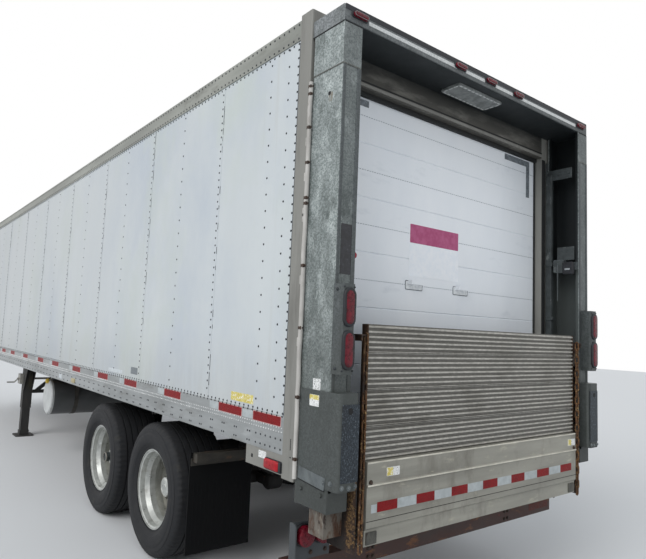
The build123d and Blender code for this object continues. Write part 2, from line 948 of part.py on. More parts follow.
def gate_canopy():
    sheet = canopy_sheet
    outer = outline([(-gate_depth, canopy_low), (0, canopy_low), (0, canopy_top),
                     (-gate_depth, canopy_top)])
    rear_corners = [v for v in outer.vertices() if v.X < -gate_depth / 2]
    outer = fillet(rear_corners, canopy_radius)
    inner = outline([(-gate_depth + sheet, canopy_low + sheet), (0, canopy_low + sheet),
                     (0, canopy_top - sheet), (-gate_depth + sheet, canopy_top - sheet)])
    shell = along_y(outer - inner, -column_outer, column_outer)
    for side in (1, -1):
        low, high = sorted((side * column_outer, side * (column_outer - sheet)))
        shell += along_y(outer, low, high)
    keep("gate_canopy", shell)


def gate_covers():
    rear = -gate_depth
    side = column_outer + guard_side_reach
    guard = outline([(guard_rear, column_inner), (-guard_front_gap, column_inner),
                     (-guard_front_gap, side), (guard_rear, side)])
    rear_corners = [v for v in guard.vertices() if v.X < rear]
    guard = fillet(rear_corners, guard_radius)
    cavity = outline([(rear, 0), (column_gap, 0), (column_gap, column_outer), (rear, column_outer)])
    guard = along_z(guard - cavity, guard_low, guard_high)
    deep = rear - lamp_box_reach
    bevel = lamp_box_bevel
    box = outline([(rear, lamp_box_inner), (rear, lamp_box_outer), (deep + bevel, lamp_box_outer),
                   (deep, lamp_box_outer - bevel), (deep, lamp_box_inner + bevel),
                   (deep + bevel, lamp_box_inner)])
    lamp_box = along_z(box, lamp_box_low, lamp_box_high)
    low = floor_top + control_box_above_floor
    high = low + control_box_height
    face = RectangleRounded(control_box_width, control_box_height, control_box_corner)
    control = along_y(Pos(-control_box_setback, (low + high) / 2) * face, -column_inner,
                      control_box_depth - column_inner)
    control += block(-gate_depth + column_wall, -control_box_setback, -column_inner,
                     control_plate_thickness - column_inner, low + control_plate_inset,
                     high - control_plate_inset)
    keep("gate_covers_left", guard, lamp_box)
    keep("gate_covers_right", mirrored(guard), mirrored(lamp_box), control)


def tail_lamps():
    solids = []
    rear = -gate_depth - lamp_box_reach
    centre = (lamp_box_outer + lamp_box_inner) / 2
    for level in (lamp_box_high - lamp_top_inset, lamp_box_low + lamp_low_inset):
        face = Pos(centre, level) * SlotOverall(oval_lamp_length, oval_lamp_width, rotation=90)
        lamp = along_x(face, rear - lamp_lens, rear)
        solids += [lamp, mirrored(lamp)]
    for inset in round_lamp_insets:
        lamp = cylinder_x(bumper_half - inset, bumper_high + round_lamp_rise, round_lamp_radius,
                          bumper_rear - round_lamp_depth, bumper_rear)
        solids += [lamp, mirrored(lamp)]
    half = side_marker_length / 2
    level = (skirt_low + bottom_rail_low) / 2
    marker = block(side_marker_station - half, side_marker_station + half, half_width,
                   half_width + side_marker_lens, level - side_marker_height / 2,
                   level + side_marker_height / 2)
    solids += [marker, mirrored(marker)]
    keep("tail_lamps", *solids)


def canopy_lamps():
    solids = []
    end = column_outer - marker_end_inset
    for place in (end, marker_spacing, 0, -marker_spacing, -end):
        face = Pos(place, canopy_top - marker_drop) * SlotOverall(marker_length, marker_width)
        solids.append(along_x(face, -gate_depth - marker_lens, -gate_depth))
    half = dome_lamp_width / 2
    length = dome_lamp_length / 2
    solids.append(block(-dome_lamp_setback - half, -dome_lamp_setback + half, -length, length,
                        canopy_low - dome_lamp_thickness, canopy_low))
    keep("canopy_lamps", *solids)


def underride_guard():
    front = bumper_rear + bumper_size
    high = bumper_high
    root = high - bumper_wall / 2
    bar = block(bumper_rear, front, -bumper_half, bumper_half, bumper_low, high)
    wall = bumper_wall
    bar -= block(bumper_rear + wall, front - wall, -bumper_half - 1, bumper_half + 1,
                 bumper_low + wall, high - wall)
    leg = bumper_leg_size / 2
    centre = (bumper_rear + front) / 2
    for side in (1, -1):
        place = side * bumper_leg_place
        bar += block(centre - leg, centre + leg, place - leg, place + leg, root, post_low)
        start = (centre, place, high + leg)
        end = (centre + bumper_brace_reach, place, crossmember_low)
        run = Line(start, end)
        square = Rectangle(bumper_brace_size, bumper_brace_size)
        strut = sweep(Plane(origin=start, x_dir=(0, 1, 0), z_dir=run % 0) * square, run)
        strut &= block(bumper_rear, end[0] + bumper_brace_size, place - leg, place + leg, root,
                       crossmember_low)
        bar += strut
        low, top = sorted((side * (bumper_half - lamp_plate_width), side * bumper_half))
        bar += block(bumper_rear, bumper_rear + lamp_plate_thickness, low, top, root, lamp_plate_top)
        cheek_rear = bumper_rear - lamp_cheek_reach
        cheek_front = bumper_rear + lamp_cheek_lap
        cheek_top = lamp_plate_top + lamp_cheek_lap
        cheek_face = outline([(cheek_rear, high), (cheek_front, high), (cheek_front, cheek_top),
                              (cheek_rear, cheek_top)])
        rear_top = cheek_face.vertices().group_by(Axis.X)[0].sort_by(Axis.Y)[-1]
        cheek_face = fillet(rear_top, lamp_cheek_radius)
        low, top = sorted((side * bumper_half, side * (bumper_half - lamp_plate_thickness)))
        bar += along_y(cheek_face, low, top)
    keep("underride_guard", bar)


def lift_carriage():
    x1 = runner_front
    x0 = x1 - runner_size
    y0 = runner_inner
    y1 = y0 + runner_size
    wall = runner_wall
    runner = block(x0, x1, y0, y1, crossbar_high, runner_top)
    runner -= block(x0 + wall, x1 - wall, y0 + wall, y1 - wall, crossbar_high - 1, runner_top + 1)
    pad_rear = -gate_depth + column_wall + pad_gap
    pad_front = -column_gap - column_wall - pad_gap
    pad_inner = column_inner + column_wall + pad_gap
    pad_outer = column_outer - column_wall - pad_gap
    for level in (column_low + pad_low_gap, runner_top - pad_top_gap):
        runner += block(pad_rear, pad_front, pad_inner, pad_outer, level - pad_height / 2,
                        level + pad_height / 2)
    arm_front = runner_front - wall
    arm_high = arm_low + arm_height
    arm = outline([(arm_rear, arm_low), (arm_front, arm_low), (arm_front, arm_high),
                   (x0, arm_high), (arm_rear, pivot_z + arm_shoulder)])
    runner += along_y(arm, arm_inner, y0)
    runner += cylinder_y(pivot_x, pivot_z, pivot_radius, platform_half_width - pivot_reach,
                         arm_inner + arm_thickness / 2)
    runner += block(chain_x - hook_back, x0 + wall, y0 - hook_thickness, y0, chain_top - hook_height,
                    chain_top + hook_radius)
    runner += cylinder_y(chain_x, chain_top, hook_radius, chain_centre - hook_thickness,
                         y0 - hook_thickness / 2)
    crossbar_rear = -gate_depth + crossbar_setback
    bar = block(crossbar_rear, crossbar_rear + crossbar_depth, -arm_inner, arm_inner, arm_low,
                crossbar_high)
    keep("lift_carriage", runner + mirrored(runner) + bar)


def chains():
    wire = chain_wire
    half_long = chain_link_inner / 2 + wire
    half_wide = chain_link_width / 2
    cut = wire
    outer = [(half_wide, half_long - cut), (half_wide - cut, half_long), (cut - half_wide, half_long),
             (-half_wide, half_long - cut), (-half_wide, cut - half_long), (cut - half_wide, -half_long),
             (half_wide - cut, -half_long), (half_wide, cut - half_long)]
    inner_wide = half_wide - wire
    inner_long = half_long - wire
    trim = inner_wide * chain_link_trim
    inner = [(inner_wide, inner_long - trim), (inner_wide - trim, inner_long),
             (trim - inner_wide, inner_long), (-inner_wide, inner_long - trim),
             (-inner_wide, trim - inner_long), (trim - inner_wide, -inner_long),
             (inner_wide - trim, -inner_long), (inner_wide, trim - inner_long)]
    ring = outline(outer) - outline(inner)
    link = Pos(0, wire / 2, 0) * extrude(Plane.XZ * ring, wire)
    turned_link = Rot(0, 0, 90) * link
    first = chain_top + hook_radius + chain_play - inner_long
    solids = []
    for number in range(chain_links):
        level = first - number * (chain_link_inner - chain_play)
        shape = link if number % 2 == 0 else turned_link
        solids.append(Pos(chain_x, chain_centre, level) * shape)
    keep_pair("lift_chain", *solids)


def platform():
    half = platform_half_width
    front = platform_front
    rear = front - deck_depth
    ribs = int((platform_high - deck_low) / rib_pitch)
    pitch = (platform_high - deck_low) / ribs
    points = [(front, deck_low), (front, platform_high), (rear, platform_high)]
    for row in range(ribs):
        top = platform_high - row * pitch
        points += [(rear, top - pitch * rib_flank), (rear - rib_height, top - pitch * rib_crest),
                   (rear - rib_height, top - pitch * (1 - rib_crest)),
                   (rear, top - pitch * (1 - rib_flank))]
    points.append((rear, deck_low))
    deck = along_y(outline(points), -half, half)
    keep("platform_deck", deck)

    face = -gate_depth - panel_overhang
    crest = face - panel_ridge_reach
    foot = face + panel_foot_step
    low = platform_low
    ridge = low + panel_ridge_rise
    foot_top = low + panel_foot_rise
    shell = outline([
        (front, low), (front, deck_low), (face, deck_low), (face, ridge + panel_ridge_half),
        (crest, ridge + panel_ridge_flat), (crest, ridge - panel_ridge_flat),
        (face, ridge - panel_ridge_half), (face, foot_top + panel_foot_step), (foot, foot_top),
        (foot, low)])
    panel = along_y(shell, -half, half)
    bore_start = half - pivot_reach - pivot_end_gap
    for side in (1, -1):
        start, end = sorted((side * bore_start, side * (half + 1)))
        panel -= cylinder_y(pivot_x, pivot_z, pivot_radius + pivot_gap, start, end)
    keep("platform_panel", panel)

    side = half + side_angle_thickness
    angle = block(rear - rib_height, front, half, side, low + side_angle_rise, platform_high)
    keep("platform_side_angles", angle, mirrored(angle))


def nose_connections():
    plate = body_length - rail_thickness
    level = floor_top + socket_above_floor
    half = socket_plate / 2
    body = block(plate, plate + socket_plate_thickness, -half, half, level - half, level + half)
    body += cylinder_x(0, level, socket_radius, plate, plate + socket_depth)
    body -= cylinder_x(0, level, socket_bore, plate + socket_floor, plate + socket_depth + 1)
    solids = [body]
    level = floor_top + gladhand_above_floor
    for side in (1, -1):
        y = side * gladhand_offset
        stem = cylinder_x(y, level, gladhand_stem_radius, plate, plate + gladhand_reach)
        solids.append(stem + Pos(plate + gladhand_reach, y, level) * Cylinder(gladhand_radius, gladhand_width))
    keep("nose_connectors", *solids)


def tyre_points():
    seat = bead_radius + seat_gap
    edge = rim_radius + seat_gap
    height = tyre_radius - rim_radius
    side = [(seat, bead_toe), (seat, rim_half_width - seat_gap), (edge, flange_start - seat_gap),
            (edge, bead_cover)]
    side += [(rim_radius + rise * height, across * tyre_half_width) for rise, across in tyre_outside]
    side.append((tyre_radius, tread_half_width))
    inside = [(rim_radius + rise * height, across * tyre_half_width) for rise, across in tyre_inside]
    points = side + [(radius, -y) for radius, y in reversed(side)]
    points += [(radius, -y) for radius, y in inside] + [(radius, y) for radius, y in reversed(inside)]
    return [(radius, tyre_centre + y) for radius, y in points]


def wheel_points():
    outer = [(rim_radius, rim_edge), (rim_radius, flange_start), (bead_radius, rim_half_width)]
    outer += [(bead_radius - depth, y) for y, depth in rim_barrel]
    outer += [(bead_radius, -rim_half_width), (rim_radius, -flange_start), (rim_radius, -rim_edge)]
    inner = [(radius - rim_wall, y) for radius, y in reversed(outer)]
    return [(radius, tyre_centre + y) for radius, y in outer + inner]


def disc_points():
    face = -disc_inset
    outer = face + disc_thickness
    rim = bead_radius - disc_seat_depth - rim_wall / 2
    rim_face = face + disc_rim_dish
    points = [(disc_bore, face), (disc_flat_radius, face), (disc_dish_radius, face + disc_dish),
              (rim, rim_face), (rim, rim_face + disc_rim_thickness),
              (disc_dish_radius, outer + disc_dish), (disc_flat_radius, outer), (disc_bore, outer)]
    return [(radius, tyre_centre + y) for radius, y in points]


def hub_points():
    face = tyre_centre - disc_inset
    bore = spindle_radius + spindle_gap
    drum_inner = drum_radius - drum_wall
    drum_start = face - hub_flange_thickness - drum_width
    back = face - hub_flange_thickness
    pilot = face + hub_pilot_length
    barrel = back - hub_barrel_length
    cap_end = pilot + hub_cap_length
    floor = pilot + hub_end_gap
    return [(bore, barrel), (hub_barrel_radius, barrel), (hub_barrel_radius, back - drum_wall),
            (drum_inner, back - drum_wall), (drum_inner, drum_start), (drum_radius, drum_start),
            (drum_radius, back), (hub_flange_radius, back), (hub_flange_radius, face),
            (hub_pilot_radius, face), (hub_pilot_radius, face + disc_thickness + hub_pilot_step),
            (hub_barrel_radius, pilot), (hub_cap_radius, pilot), (hub_cap_radius, cap_end - hub_cap_bevel),
            (hub_cap_radius - hub_cap_bevel, cap_end), (0, cap_end), (0, floor), (bore, floor)]


def wheel_ends():
    for name, station in axle_stations.items():
        tyre = turned(tyre_points(), station, axle_level)
        rim = turned(wheel_points(), station, axle_level)
        disc = turned(disc_points(), station, axle_level)
        for turn in range(hand_holes):
            angle = 2 * math.pi * turn / hand_holes
            x = station + hand_hole_circle * math.cos(angle)
            z = axle_level + hand_hole_circle * math.sin(angle)
            disc -= cylinder_y(x, z, hand_hole_radius, tyre_centre - disc_inset - hand_hole_cut,
                               tyre_centre + disc_thickness)
        hub = turned(hub_points(), station, axle_level)
        keep_pair("tyre_" + name, tyre)
        keep_pair("wheel_" + name, rim + disc)
        keep_pair("hub_" + name, hub)


side_walls()
nose_wall()
roof_panel()
floor_deck()
bottom_rails()
top_rails()
crossmembers()
rear_frame()
roll_up_door()
upper_coupler()
landing_gear()
suspension_frame()
spring_hangers()
leaf_springs()
axles()
brake_gear()
cross_tank()
mud_flaps()
gate_columns()
gate_canopy()
gate_covers()
tail_lamps()
canopy_lamps()
underride_guard()
lift_carriage()
chains()
platform()
nose_connections()
wheel_ends()

os.makedirs("parts", exist_ok=True)
for name, shape in pieces.items():
    export_step(Pos(-middle, 0, 0) * shape, "parts/" + name + ".step")
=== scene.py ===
"""Looks of a box semi trailer with a rail lift gate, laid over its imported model."""
import math

import bmesh
import bpy
import numpy as np
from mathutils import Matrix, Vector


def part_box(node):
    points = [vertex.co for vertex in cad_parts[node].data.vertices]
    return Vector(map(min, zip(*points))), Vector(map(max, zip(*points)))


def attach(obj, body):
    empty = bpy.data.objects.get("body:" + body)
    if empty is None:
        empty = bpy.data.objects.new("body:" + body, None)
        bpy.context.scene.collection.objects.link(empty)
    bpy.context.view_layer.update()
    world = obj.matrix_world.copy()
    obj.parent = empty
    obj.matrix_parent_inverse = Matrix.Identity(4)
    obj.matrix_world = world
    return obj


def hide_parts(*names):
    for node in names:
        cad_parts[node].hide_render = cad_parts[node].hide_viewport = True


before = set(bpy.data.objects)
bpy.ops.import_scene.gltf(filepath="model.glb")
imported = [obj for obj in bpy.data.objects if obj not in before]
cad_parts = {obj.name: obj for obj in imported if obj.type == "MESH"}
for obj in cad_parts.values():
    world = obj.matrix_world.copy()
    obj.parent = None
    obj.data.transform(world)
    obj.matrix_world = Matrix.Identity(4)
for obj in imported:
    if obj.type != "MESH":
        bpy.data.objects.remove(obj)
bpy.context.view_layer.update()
rear_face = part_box("rear_sill")[0].x
half_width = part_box("bottom_rail_left")[1].y
body_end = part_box("nose_cap_rail")[1].x
nose = body_end - rear_face


# Camera. The trailer is seen from behind its left corner, at eye height, as the photograph was
# taken: the angles and the focal length come from known sizes on the trailer.
image_width = 646
focal_pixels = 574.92
centre_pixel = (311.15, 277.69)
image_middle = (323, 279.5)
camera_behind = 2.4885
camera_left = 3.1486
camera_height = 1.7614
pitch = 0.0953
yaw = 0.6572
roll = -0.0419
ahead = np.array([math.cos(pitch) * math.cos(yaw), -math.cos(pitch) * math.sin(yaw), math.sin(pitch)])
level_right = np.array([-math.sin(yaw), -math.cos(yaw), 0])
level_down = np.cross(ahead, level_right)
across = level_right * math.cos(roll) + level_down * math.sin(roll)
below = level_down * math.cos(roll) - level_right * math.sin(roll)
lens = bpy.data.cameras.new("camera")
lens.sensor_width = 36
lens.lens = focal_pixels / image_width * lens.sensor_width
lens.shift_x = (image_middle[0] - centre_pixel[0]) / image_width
lens.shift_y = (centre_pixel[1] - image_middle[1]) / image_width
lens.clip_end = 200
camera = bpy.data.objects.new("camera", lens)
bpy.context.scene.collection.objects.link(camera)
place = np.eye(4)
place[:3, :3] = np.column_stack([across, -below, -ahead])
place[:3, 3] = (rear_face - camera_behind, camera_left, camera_height)
camera.matrix_world = place.T.tolist()
bpy.context.scene.camera = camera
bpy.context.scene.view_settings.view_transform = "Standard"


# Daylight. An overcast sky lights every side softly and one broad lamp from behind the left
# corner gives the faces their different tones; what shows past the trailer is white.
def linear(colour):
    """A hex colour turned from its written form to the linear one: each channel's own curve."""
    written = np.array([int(colour[i:i + 2], 16) for i in (1, 3, 5)]) / 255
    turned = np.where(written > 0.04045, ((written + 0.055) / 1.055) ** 2.4, written / 12.92)
    return (*turned.tolist(), 1.0)


def output(source):
    """A socket as it is, or a node's first output that is in use."""
    if isinstance(source, bpy.types.Node):
        source = next(socket for socket in source.outputs if socket.enabled)
    return source


def add(tree, kind, inputs=None, stops=None, **settings):
    """Adds a node to a tree with its settings, its inputs' values or links, and a ramp's stops."""
    node = tree.nodes.new("ShaderNode" + kind)
    for name, value in settings.items():
        setattr(node, name, value)
    for name, value in (inputs or {}).items():
        value = output(value)
        if isinstance(value, bpy.types.NodeSocket):
            tree.links.new(value, node.inputs[name])
        else:
            node.inputs[name].default_value = value
    for number, (position, colour) in enumerate((stops or {}).items()):
        ramp = node.color_ramp.elements
        stop = ramp[number] if number < 2 else ramp.new(position)
        stop.position = position
        stop.color = linear(colour)
    return node


class Finish:
    """A material under work, with its shader, the place on the trailer and the colour so far."""

    def __init__(self, name, **inputs):
        self.made = bpy.data.materials.new(name)
        self.made.use_nodes = True
        self.tree = self.made.node_tree
        self.shader = self.tree.nodes["Principled BSDF"]
        self.where = add(self.tree, "TexCoord").outputs["Object"]
        for label, value in inputs.items():
            self.shader.inputs[label.replace("_", " ")].default_value = value

    def feed(self, label, source):
        """Links a node to one of the shader's inputs."""
        self.tree.links.new(output(source), self.shader.inputs[label])

    def paint(self, source):
        """Makes a node's colour the material's colour so far."""
        self.colour = source
        self.feed("Base Color", source)

    def film(self, value, start, full, shade, most=1.0, times=None):
        """Lays a shade over the colour: none where a value, or a coordinate of the place, is at its
        start, and the most of it where full; times another value if given. Gives that cover."""
        if isinstance(value, str):
            value = add(self.tree, "SeparateXYZ", {"Vector": self.where}).outputs[value]
        cover = add(self.tree, "MapRange", {
            "Value": value, "From Min": start, "From Max": full, "To Max": most})
        if times:
            cover = add(self.tree, "Math", {0: cover, 1: times}, operation="MULTIPLY")
        self.paint(add(self.tree, "Mix", {"Factor": cover, "A": self.colour, "B": linear(shade)},
                       data_type="RGBA"))
        return cover


sky = bpy.data.worlds.new("overcast_sky")
sky.use_nodes = True
tree = sky.node_tree
tree.nodes.clear()
light = add(tree, "Background", {"Color": linear("#e6ebf0"), "Strength": 0.75})
plain = add(tree, "Background", {"Color": linear("#ffffff"), "Strength": 1.0})
rays = add(tree, "LightPath").outputs
seen = add(tree, "Math", {0: rays["Is Camera Ray"], 1: rays["Is Transmission Ray"]}, operation="MAXIMUM")
shown = add(tree, "Math", {0: seen, 1: rays["Is Glossy Ray"]}, operation="MAXIMUM")
add(tree, "OutputWorld", {"Surface": add(tree, "MixShader", {0: shown, 1: light, 2: plain})})
bpy.context.scene.world = sky

lamp = bpy.data.lights.new("broad_daylight", "SUN")
lamp.energy = 1.45
lamp.angle = math.radians(40)
sun = bpy.data.objects.new("broad_daylight", lamp)
sun.rotation_euler = (math.radians(-48), math.radians(-22), 0)
bpy.context.scene.collection.objects.link(sun)

floor_reach = 40
floor_mesh = bpy.data.meshes.new("floor")
floor_mesh.from_pydata([(-floor_reach, -floor_reach, 0), (floor_reach, -floor_reach, 0),
                        (floor_reach, floor_reach, 0), (-floor_reach, floor_reach, 0)], [], [(0, 1, 2, 3)])
floor = bpy.data.objects.new("floor", floor_mesh)
bpy.context.scene.collection.objects.link(floor)
floor_mesh.materials.append(Finish("pale_floor", Base_Color=linear("#d9dadb"), Roughness=0.9).made)


# Side walls, nose and roof. White coil-painted aluminium sheets, lapped over a strip at each seam
# and riveted to posts every 24 in; road film lies thicker low down and runs in faint streaks.
def weathered(name, tones, grain, stretch=1, dirt=(), rough=(0.4, 0.6), dents=0.0, **inputs):
    """A finish worn by weather. A noise one grain across picks the tone and the roughness between two
    limits and raises the surface by the dents' metres. Each row of dirt is a shade, a size, a stretch,
    and the noise levels where that shade starts and where it covers. One number stretches the height."""
    finish = Finish(name, **inputs)
    tree = finish.tree

    def noise(size, reach, detail, roughness):
        scale = reach if isinstance(reach, tuple) else (1, 1, reach)
        drawn = add(tree, "Mapping", {"Vector": finish.where, "Scale": scale})
        return add(tree, "TexNoise", {
            "Vector": drawn, "Scale": 1 / size, "Detail": detail, "Roughness": roughness})

    patches = noise(grain, stretch, 7.0, 0.6)
    finish.paint(add(tree, "ValToRGB", {"Fac": patches}, tones))
    for shade, size, reach, start, full in dirt:
        finish.film(noise(size, reach, 6.0, 0.65), start, full, shade)
    finish.feed("Roughness", add(tree, "MapRange", {
        "Value": patches, "From Min": 0.3, "From Max": 0.7, "To Min": rough[0], "To Max": rough[1]}))
    if dents:
        finish.feed("Normal", add(tree, "Bump", {"Height": patches, "Strength": 1.0, "Distance": dents}))
    return finish


def dress(finish, *names):
    """Gives CAD nodes a finish; a name also stands for its left and right, or for all its ends."""
    for name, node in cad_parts.items():
        if any(name == wanted or name.startswith(wanted + "_") for wanted in names):
            node.data.materials.clear()
            node.data.materials.append(finish.made)


def grid_faces(rows, columns, ring=False):
    """Four-sided faces between a grid's neighbours; a ring also joins its last column to its first."""
    row = np.arange(rows - 1)[:, None]
    column = np.arange(columns if ring else columns - 1)[None]
    beside = (column + 1) % columns
    quads = [row * columns + column, row * columns + beside, (row + 1) * columns + beside,
             (row + 1) * columns + column]
    return np.stack(quads, -1).reshape(-1, 4)


def around(count, start=0):
    """Even steps round a circle, in radians, from a part of a step on."""
    return (np.arange(count) + start) * 2 * math.pi / count


def revolved(profile, steps):
    """A profile of radius and height turned round the height's axis, by sine and cosine."""
    profile = np.array(profile, float)
    angle = around(steps)
    points = np.stack([profile[:, :1] * np.cos(angle), profile[:, :1] * np.sin(angle),
                       profile[:, 1:] + 0 * angle], -1)
    return points.reshape(-1, 3), grid_faces(len(profile), steps, ring=True)


def pressed(width, height, corner, levels, steps=5):
    """A plate with round corners. Each level is an inset and a height: the outline shrunk by the
    inset stands at that height, and the middle closes the first and the last of them."""
    angle = np.linspace(0, math.pi / 2, steps) + np.arange(4)[:, None] * math.pi / 2
    signs = np.array([(1, 1), (-1, 1), (-1, -1), (1, -1)])[:, None]
    turn = np.stack([np.cos(angle), np.sin(angle)], -1)
    rings = []
    for inset, rise in levels:
        radius = max(corner - inset, 1e-5)
        half = np.array([width / 2 - inset, height / 2 - inset])
        ring = (signs * (half - radius) + radius * turn).reshape(-1, 2)
        rings.append(np.column_stack([ring, np.full(len(ring), rise)]))
    middles = [np.zeros_like(rings[0]) + (0, 0, levels[end][1]) for end in (0, -1)]
    points = np.concatenate([middles[0], *rings, middles[1]])
    return points, grid_faces(len(rings) + 2, len(rings[0]), ring=True)


def slab(width, height, thickness, corner=0.004, bevel=0.0006):
    """A pressed plate of one thickness with its front edge bevelled."""
    return pressed(width, height, corner, [(0, 0), (0, thickness - bevel), (bevel, thickness)])


def on(axes, shape, places, start=rear_face):
    """Copies of a shape on a face: its points turned to three axes, then added to every place. Places
    are measured forward of the rear face, from the middle and from the ground."""
    points, faces = shape
    places = np.array(places, float).reshape(-1, 3) + (start, 0, 0)
    moved = places[:, None] + (points @ np.array(axes, float))[None]
    numbered = faces[None] + len(points) * np.arange(len(places))[:, None, None]
    return moved.reshape(-1, 3), numbered.reshape(-1, faces.shape[1])


def joined(*shapes):
    """Several shapes as one: the points follow each other and the faces count on from them."""
    starts = np.cumsum([0] + [len(points) for points, faces in shapes[:-1]])
    return (np.concatenate([points for points, faces in shapes]),
            np.concatenate([faces + start for (points, faces), start in zip(shapes, starts)]))


def both_sides(shape):
    """A shape on the left and its mirror image on the right, whose faces are turned back round."""
    points, faces = shape
    return joined(shape, (points * (1, -1, 1), faces[:, ::-1]))


def piece(name, shape, finish, slot, body="trailer", smooth=True, stands_for=()):
    """Puts a shape's arrays into a new piece, closes its poles and seams, and lets it ride a body."""
    points, faces = shape
    mesh = bpy.data.meshes.new(name)
    mesh.vertices.add(len(points))
    mesh.vertices.foreach_set("co", points.astype(np.float32).ravel())
    mesh.loops.add(faces.size)
    mesh.loops.foreach_set("vertex_index", faces.astype(np.int32).ravel())
    mesh.polygons.add(len(faces))
    mesh.polygons.foreach_set("loop_start", np.arange(0, faces.size, faces.shape[1], dtype=np.int32))
    mesh.update(calc_edges=True)
    shell = bmesh.new()
    shell.from_mesh(mesh)
    bmesh.ops.remove_doubles(shell, verts=shell.verts, dist=1e-6)
    shell.to_mesh(mesh)
    shell.free()
    if smooth:
        mesh.shade_smooth()
        mesh.set_sharp_from_angle(angle=math.radians(38))
    else:
        mesh.shade_flat()
    mesh.materials.append(finish.made)
    made = bpy.data.objects.new(name, mesh)
    bpy.context.scene.collection.objects.link(made)
    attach(made, body)
    if stands_for:
        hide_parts(*stands_for)


def pair(name, shape, *rest, **more):
    """A piece that stands on the left and, mirrored, on the right."""
    piece(name, both_sides(shape), *rest, **more)


def lattice(x_places, y, z_places):
    """Every pair of a place along X and a level, on one plane."""
    x, z = np.meshgrid(np.array(x_places, float), np.array(z_places, float), indexing="ij")
    return np.stack([x.ravel(), np.full(x.size, y), z.ravel()], -1)


# Axes of a face, as an onlooker sees it: to the right, up, and out towards the onlooker
left = [(-1, 0, 0), (0, 0, 1), (0, 1, 0)]
right = [(1, 0, 0), (0, 0, 1), (0, -1, 0)]
rear = [(0, -1, 0), (0, 0, 1), (-1, 0, 0)]
front = [(0, 1, 0), (0, 0, 1), (1, 0, 0)]
down = [(0, -1, 0), (-1, 0, 0), (0, 0, -1)]
upright = np.eye(3)

# The two broadest tints, bluish and greenish, are painted reflection of a cloudy sky; the fine upright
# streaks are grime.
wall_skin = weathered(
    "coil_painted_aluminium_sheet", {0.3: "#c3c9cc", 0.7: "#d1d6d7"}, 0.9, 0.3,
    [("#b6bfca", 1.6, 0.6, 0.44, 0.70), ("#c3cbc4", 1.1, 0.8, 0.50, 0.74),
     ("#b4b4ac", 0.5, (2.5, 2.5, 0.12), 0.62, 0.9)],
    (0.30, 0.42), Coat_Weight=0.12, Coat_Roughness=0.1, Specular_IOR_Level=0.35)
tree, where = wall_skin.tree, wall_skin.where
# Painted shade: the wall grows darker and darker towards the nose.
wall_skin.film("X", rear_face, body_end, "#93999c", 0.75)
grime = add(tree, "Mapping", {"Vector": where, "Scale": (6, 6, 0.8)})
splash = add(tree, "TexNoise", {"Vector": grime, "Scale": 4.0, "Detail": 6.0})
wall_skin.film("Z", 1.75, 1.28, "#a8a59c", 0.5, splash)
ripple = add(tree, "TexNoise", {"Vector": where, "Scale": 1.4, "Detail": 1.0})
wall_skin.feed("Normal", add(tree, "Bump", {"Height": ripple, "Strength": 0.3, "Distance": 0.02}))
dress(wall_skin, "side_wall", "nose_wall")

half_bow_pitch = 0.305
roof_sheet = weathered(
    "mill_finish_roof_sheet", {0.35: "#b3b6b6", 0.65: "#c9cbca"}, 0.8, (0.4, 1, 1),
    [("#8f908b", 0.9, (0.5, 1, 1), 0.50, 0.75), ("#77766f", 0.12, 1, 0.66, 0.80)],
    (0.42, 0.58), Metallic=0.35)
tree = roof_sheet.tree
along = add(tree, "SeparateXYZ", {"Vector": roof_sheet.where}).outputs["X"]
bay = add(tree, "Math", {0: along, 1: half_bow_pitch}, operation="PINGPONG")
bow = add(tree, "MapRange", {"Value": bay, "From Min": 0.035, "From Max": 0.0})
roof_sheet.feed("Normal", add(tree, "Bump", {"Height": bow, "Strength": 1.0, "Distance": 0.003}))
dress(roof_sheet, "roof_panel")

rivet_metal = weathered("grimed_rivet_head", {0.4: "#14171a", 0.6: "#363b3f"}, 0.03, rough=(0.45, 0.65),
                        Metallic=0.3)
rivet = revolved([(0.0072, 0), (0.0056, 0.0022), (0, 0.003)], 8)
wall_face = half_width - 0.006
lap_face = wall_face + 0.0015
wall_low, wall_high = 1.313, 3.432
panel_pitch = 1.216
rivet_pitch = 0.0508
post_pitch = 0.1016
rear_row = 0.125
seams = np.arange(1.010, nose - 0.25, panel_pitch)
mid_posts = np.concatenate([[seams[0] - panel_pitch / 2], seams[:-1] + panel_pitch / 2])
seam_levels = np.arange(wall_low + rivet_pitch, wall_high, rivet_pitch)
post_levels = np.arange(wall_low + rivet_pitch, wall_high, post_pitch)
edge_places = np.arange(rear_row, nose - 0.21, rivet_pitch)
wall_rows = [lattice(seams, lap_face, seam_levels), lattice(mid_posts, wall_face, post_levels),
             lattice([rear_row], wall_face, seam_levels), lattice([0.216], wall_face, post_levels + 0.03),
             lattice(edge_places, wall_face, [wall_low, wall_high])]
pair("wall_rivets", on(left, rivet, np.concatenate(wall_rows)), rivet_metal, "rail_aluminium")

top_levels = (3.462, 3.545)
nose_face = nose - 0.006
nose_seams = [(nose_face, y, z) for y in (-0.61, 0.0, 0.61) for z in seam_levels]
nose_levels = ((nose_face, (wall_low, wall_high)), (nose, (1.27, 1.13, *top_levels)))
nose_edges = [(face, y, z) for face, levels in nose_levels for z in levels
              for y in np.arange(-1.067, 1.068, 2 * rivet_pitch)]
piece("nose_rivets", on(front, rivet, nose_seams + nose_edges), rivet_metal, "rail_aluminium")
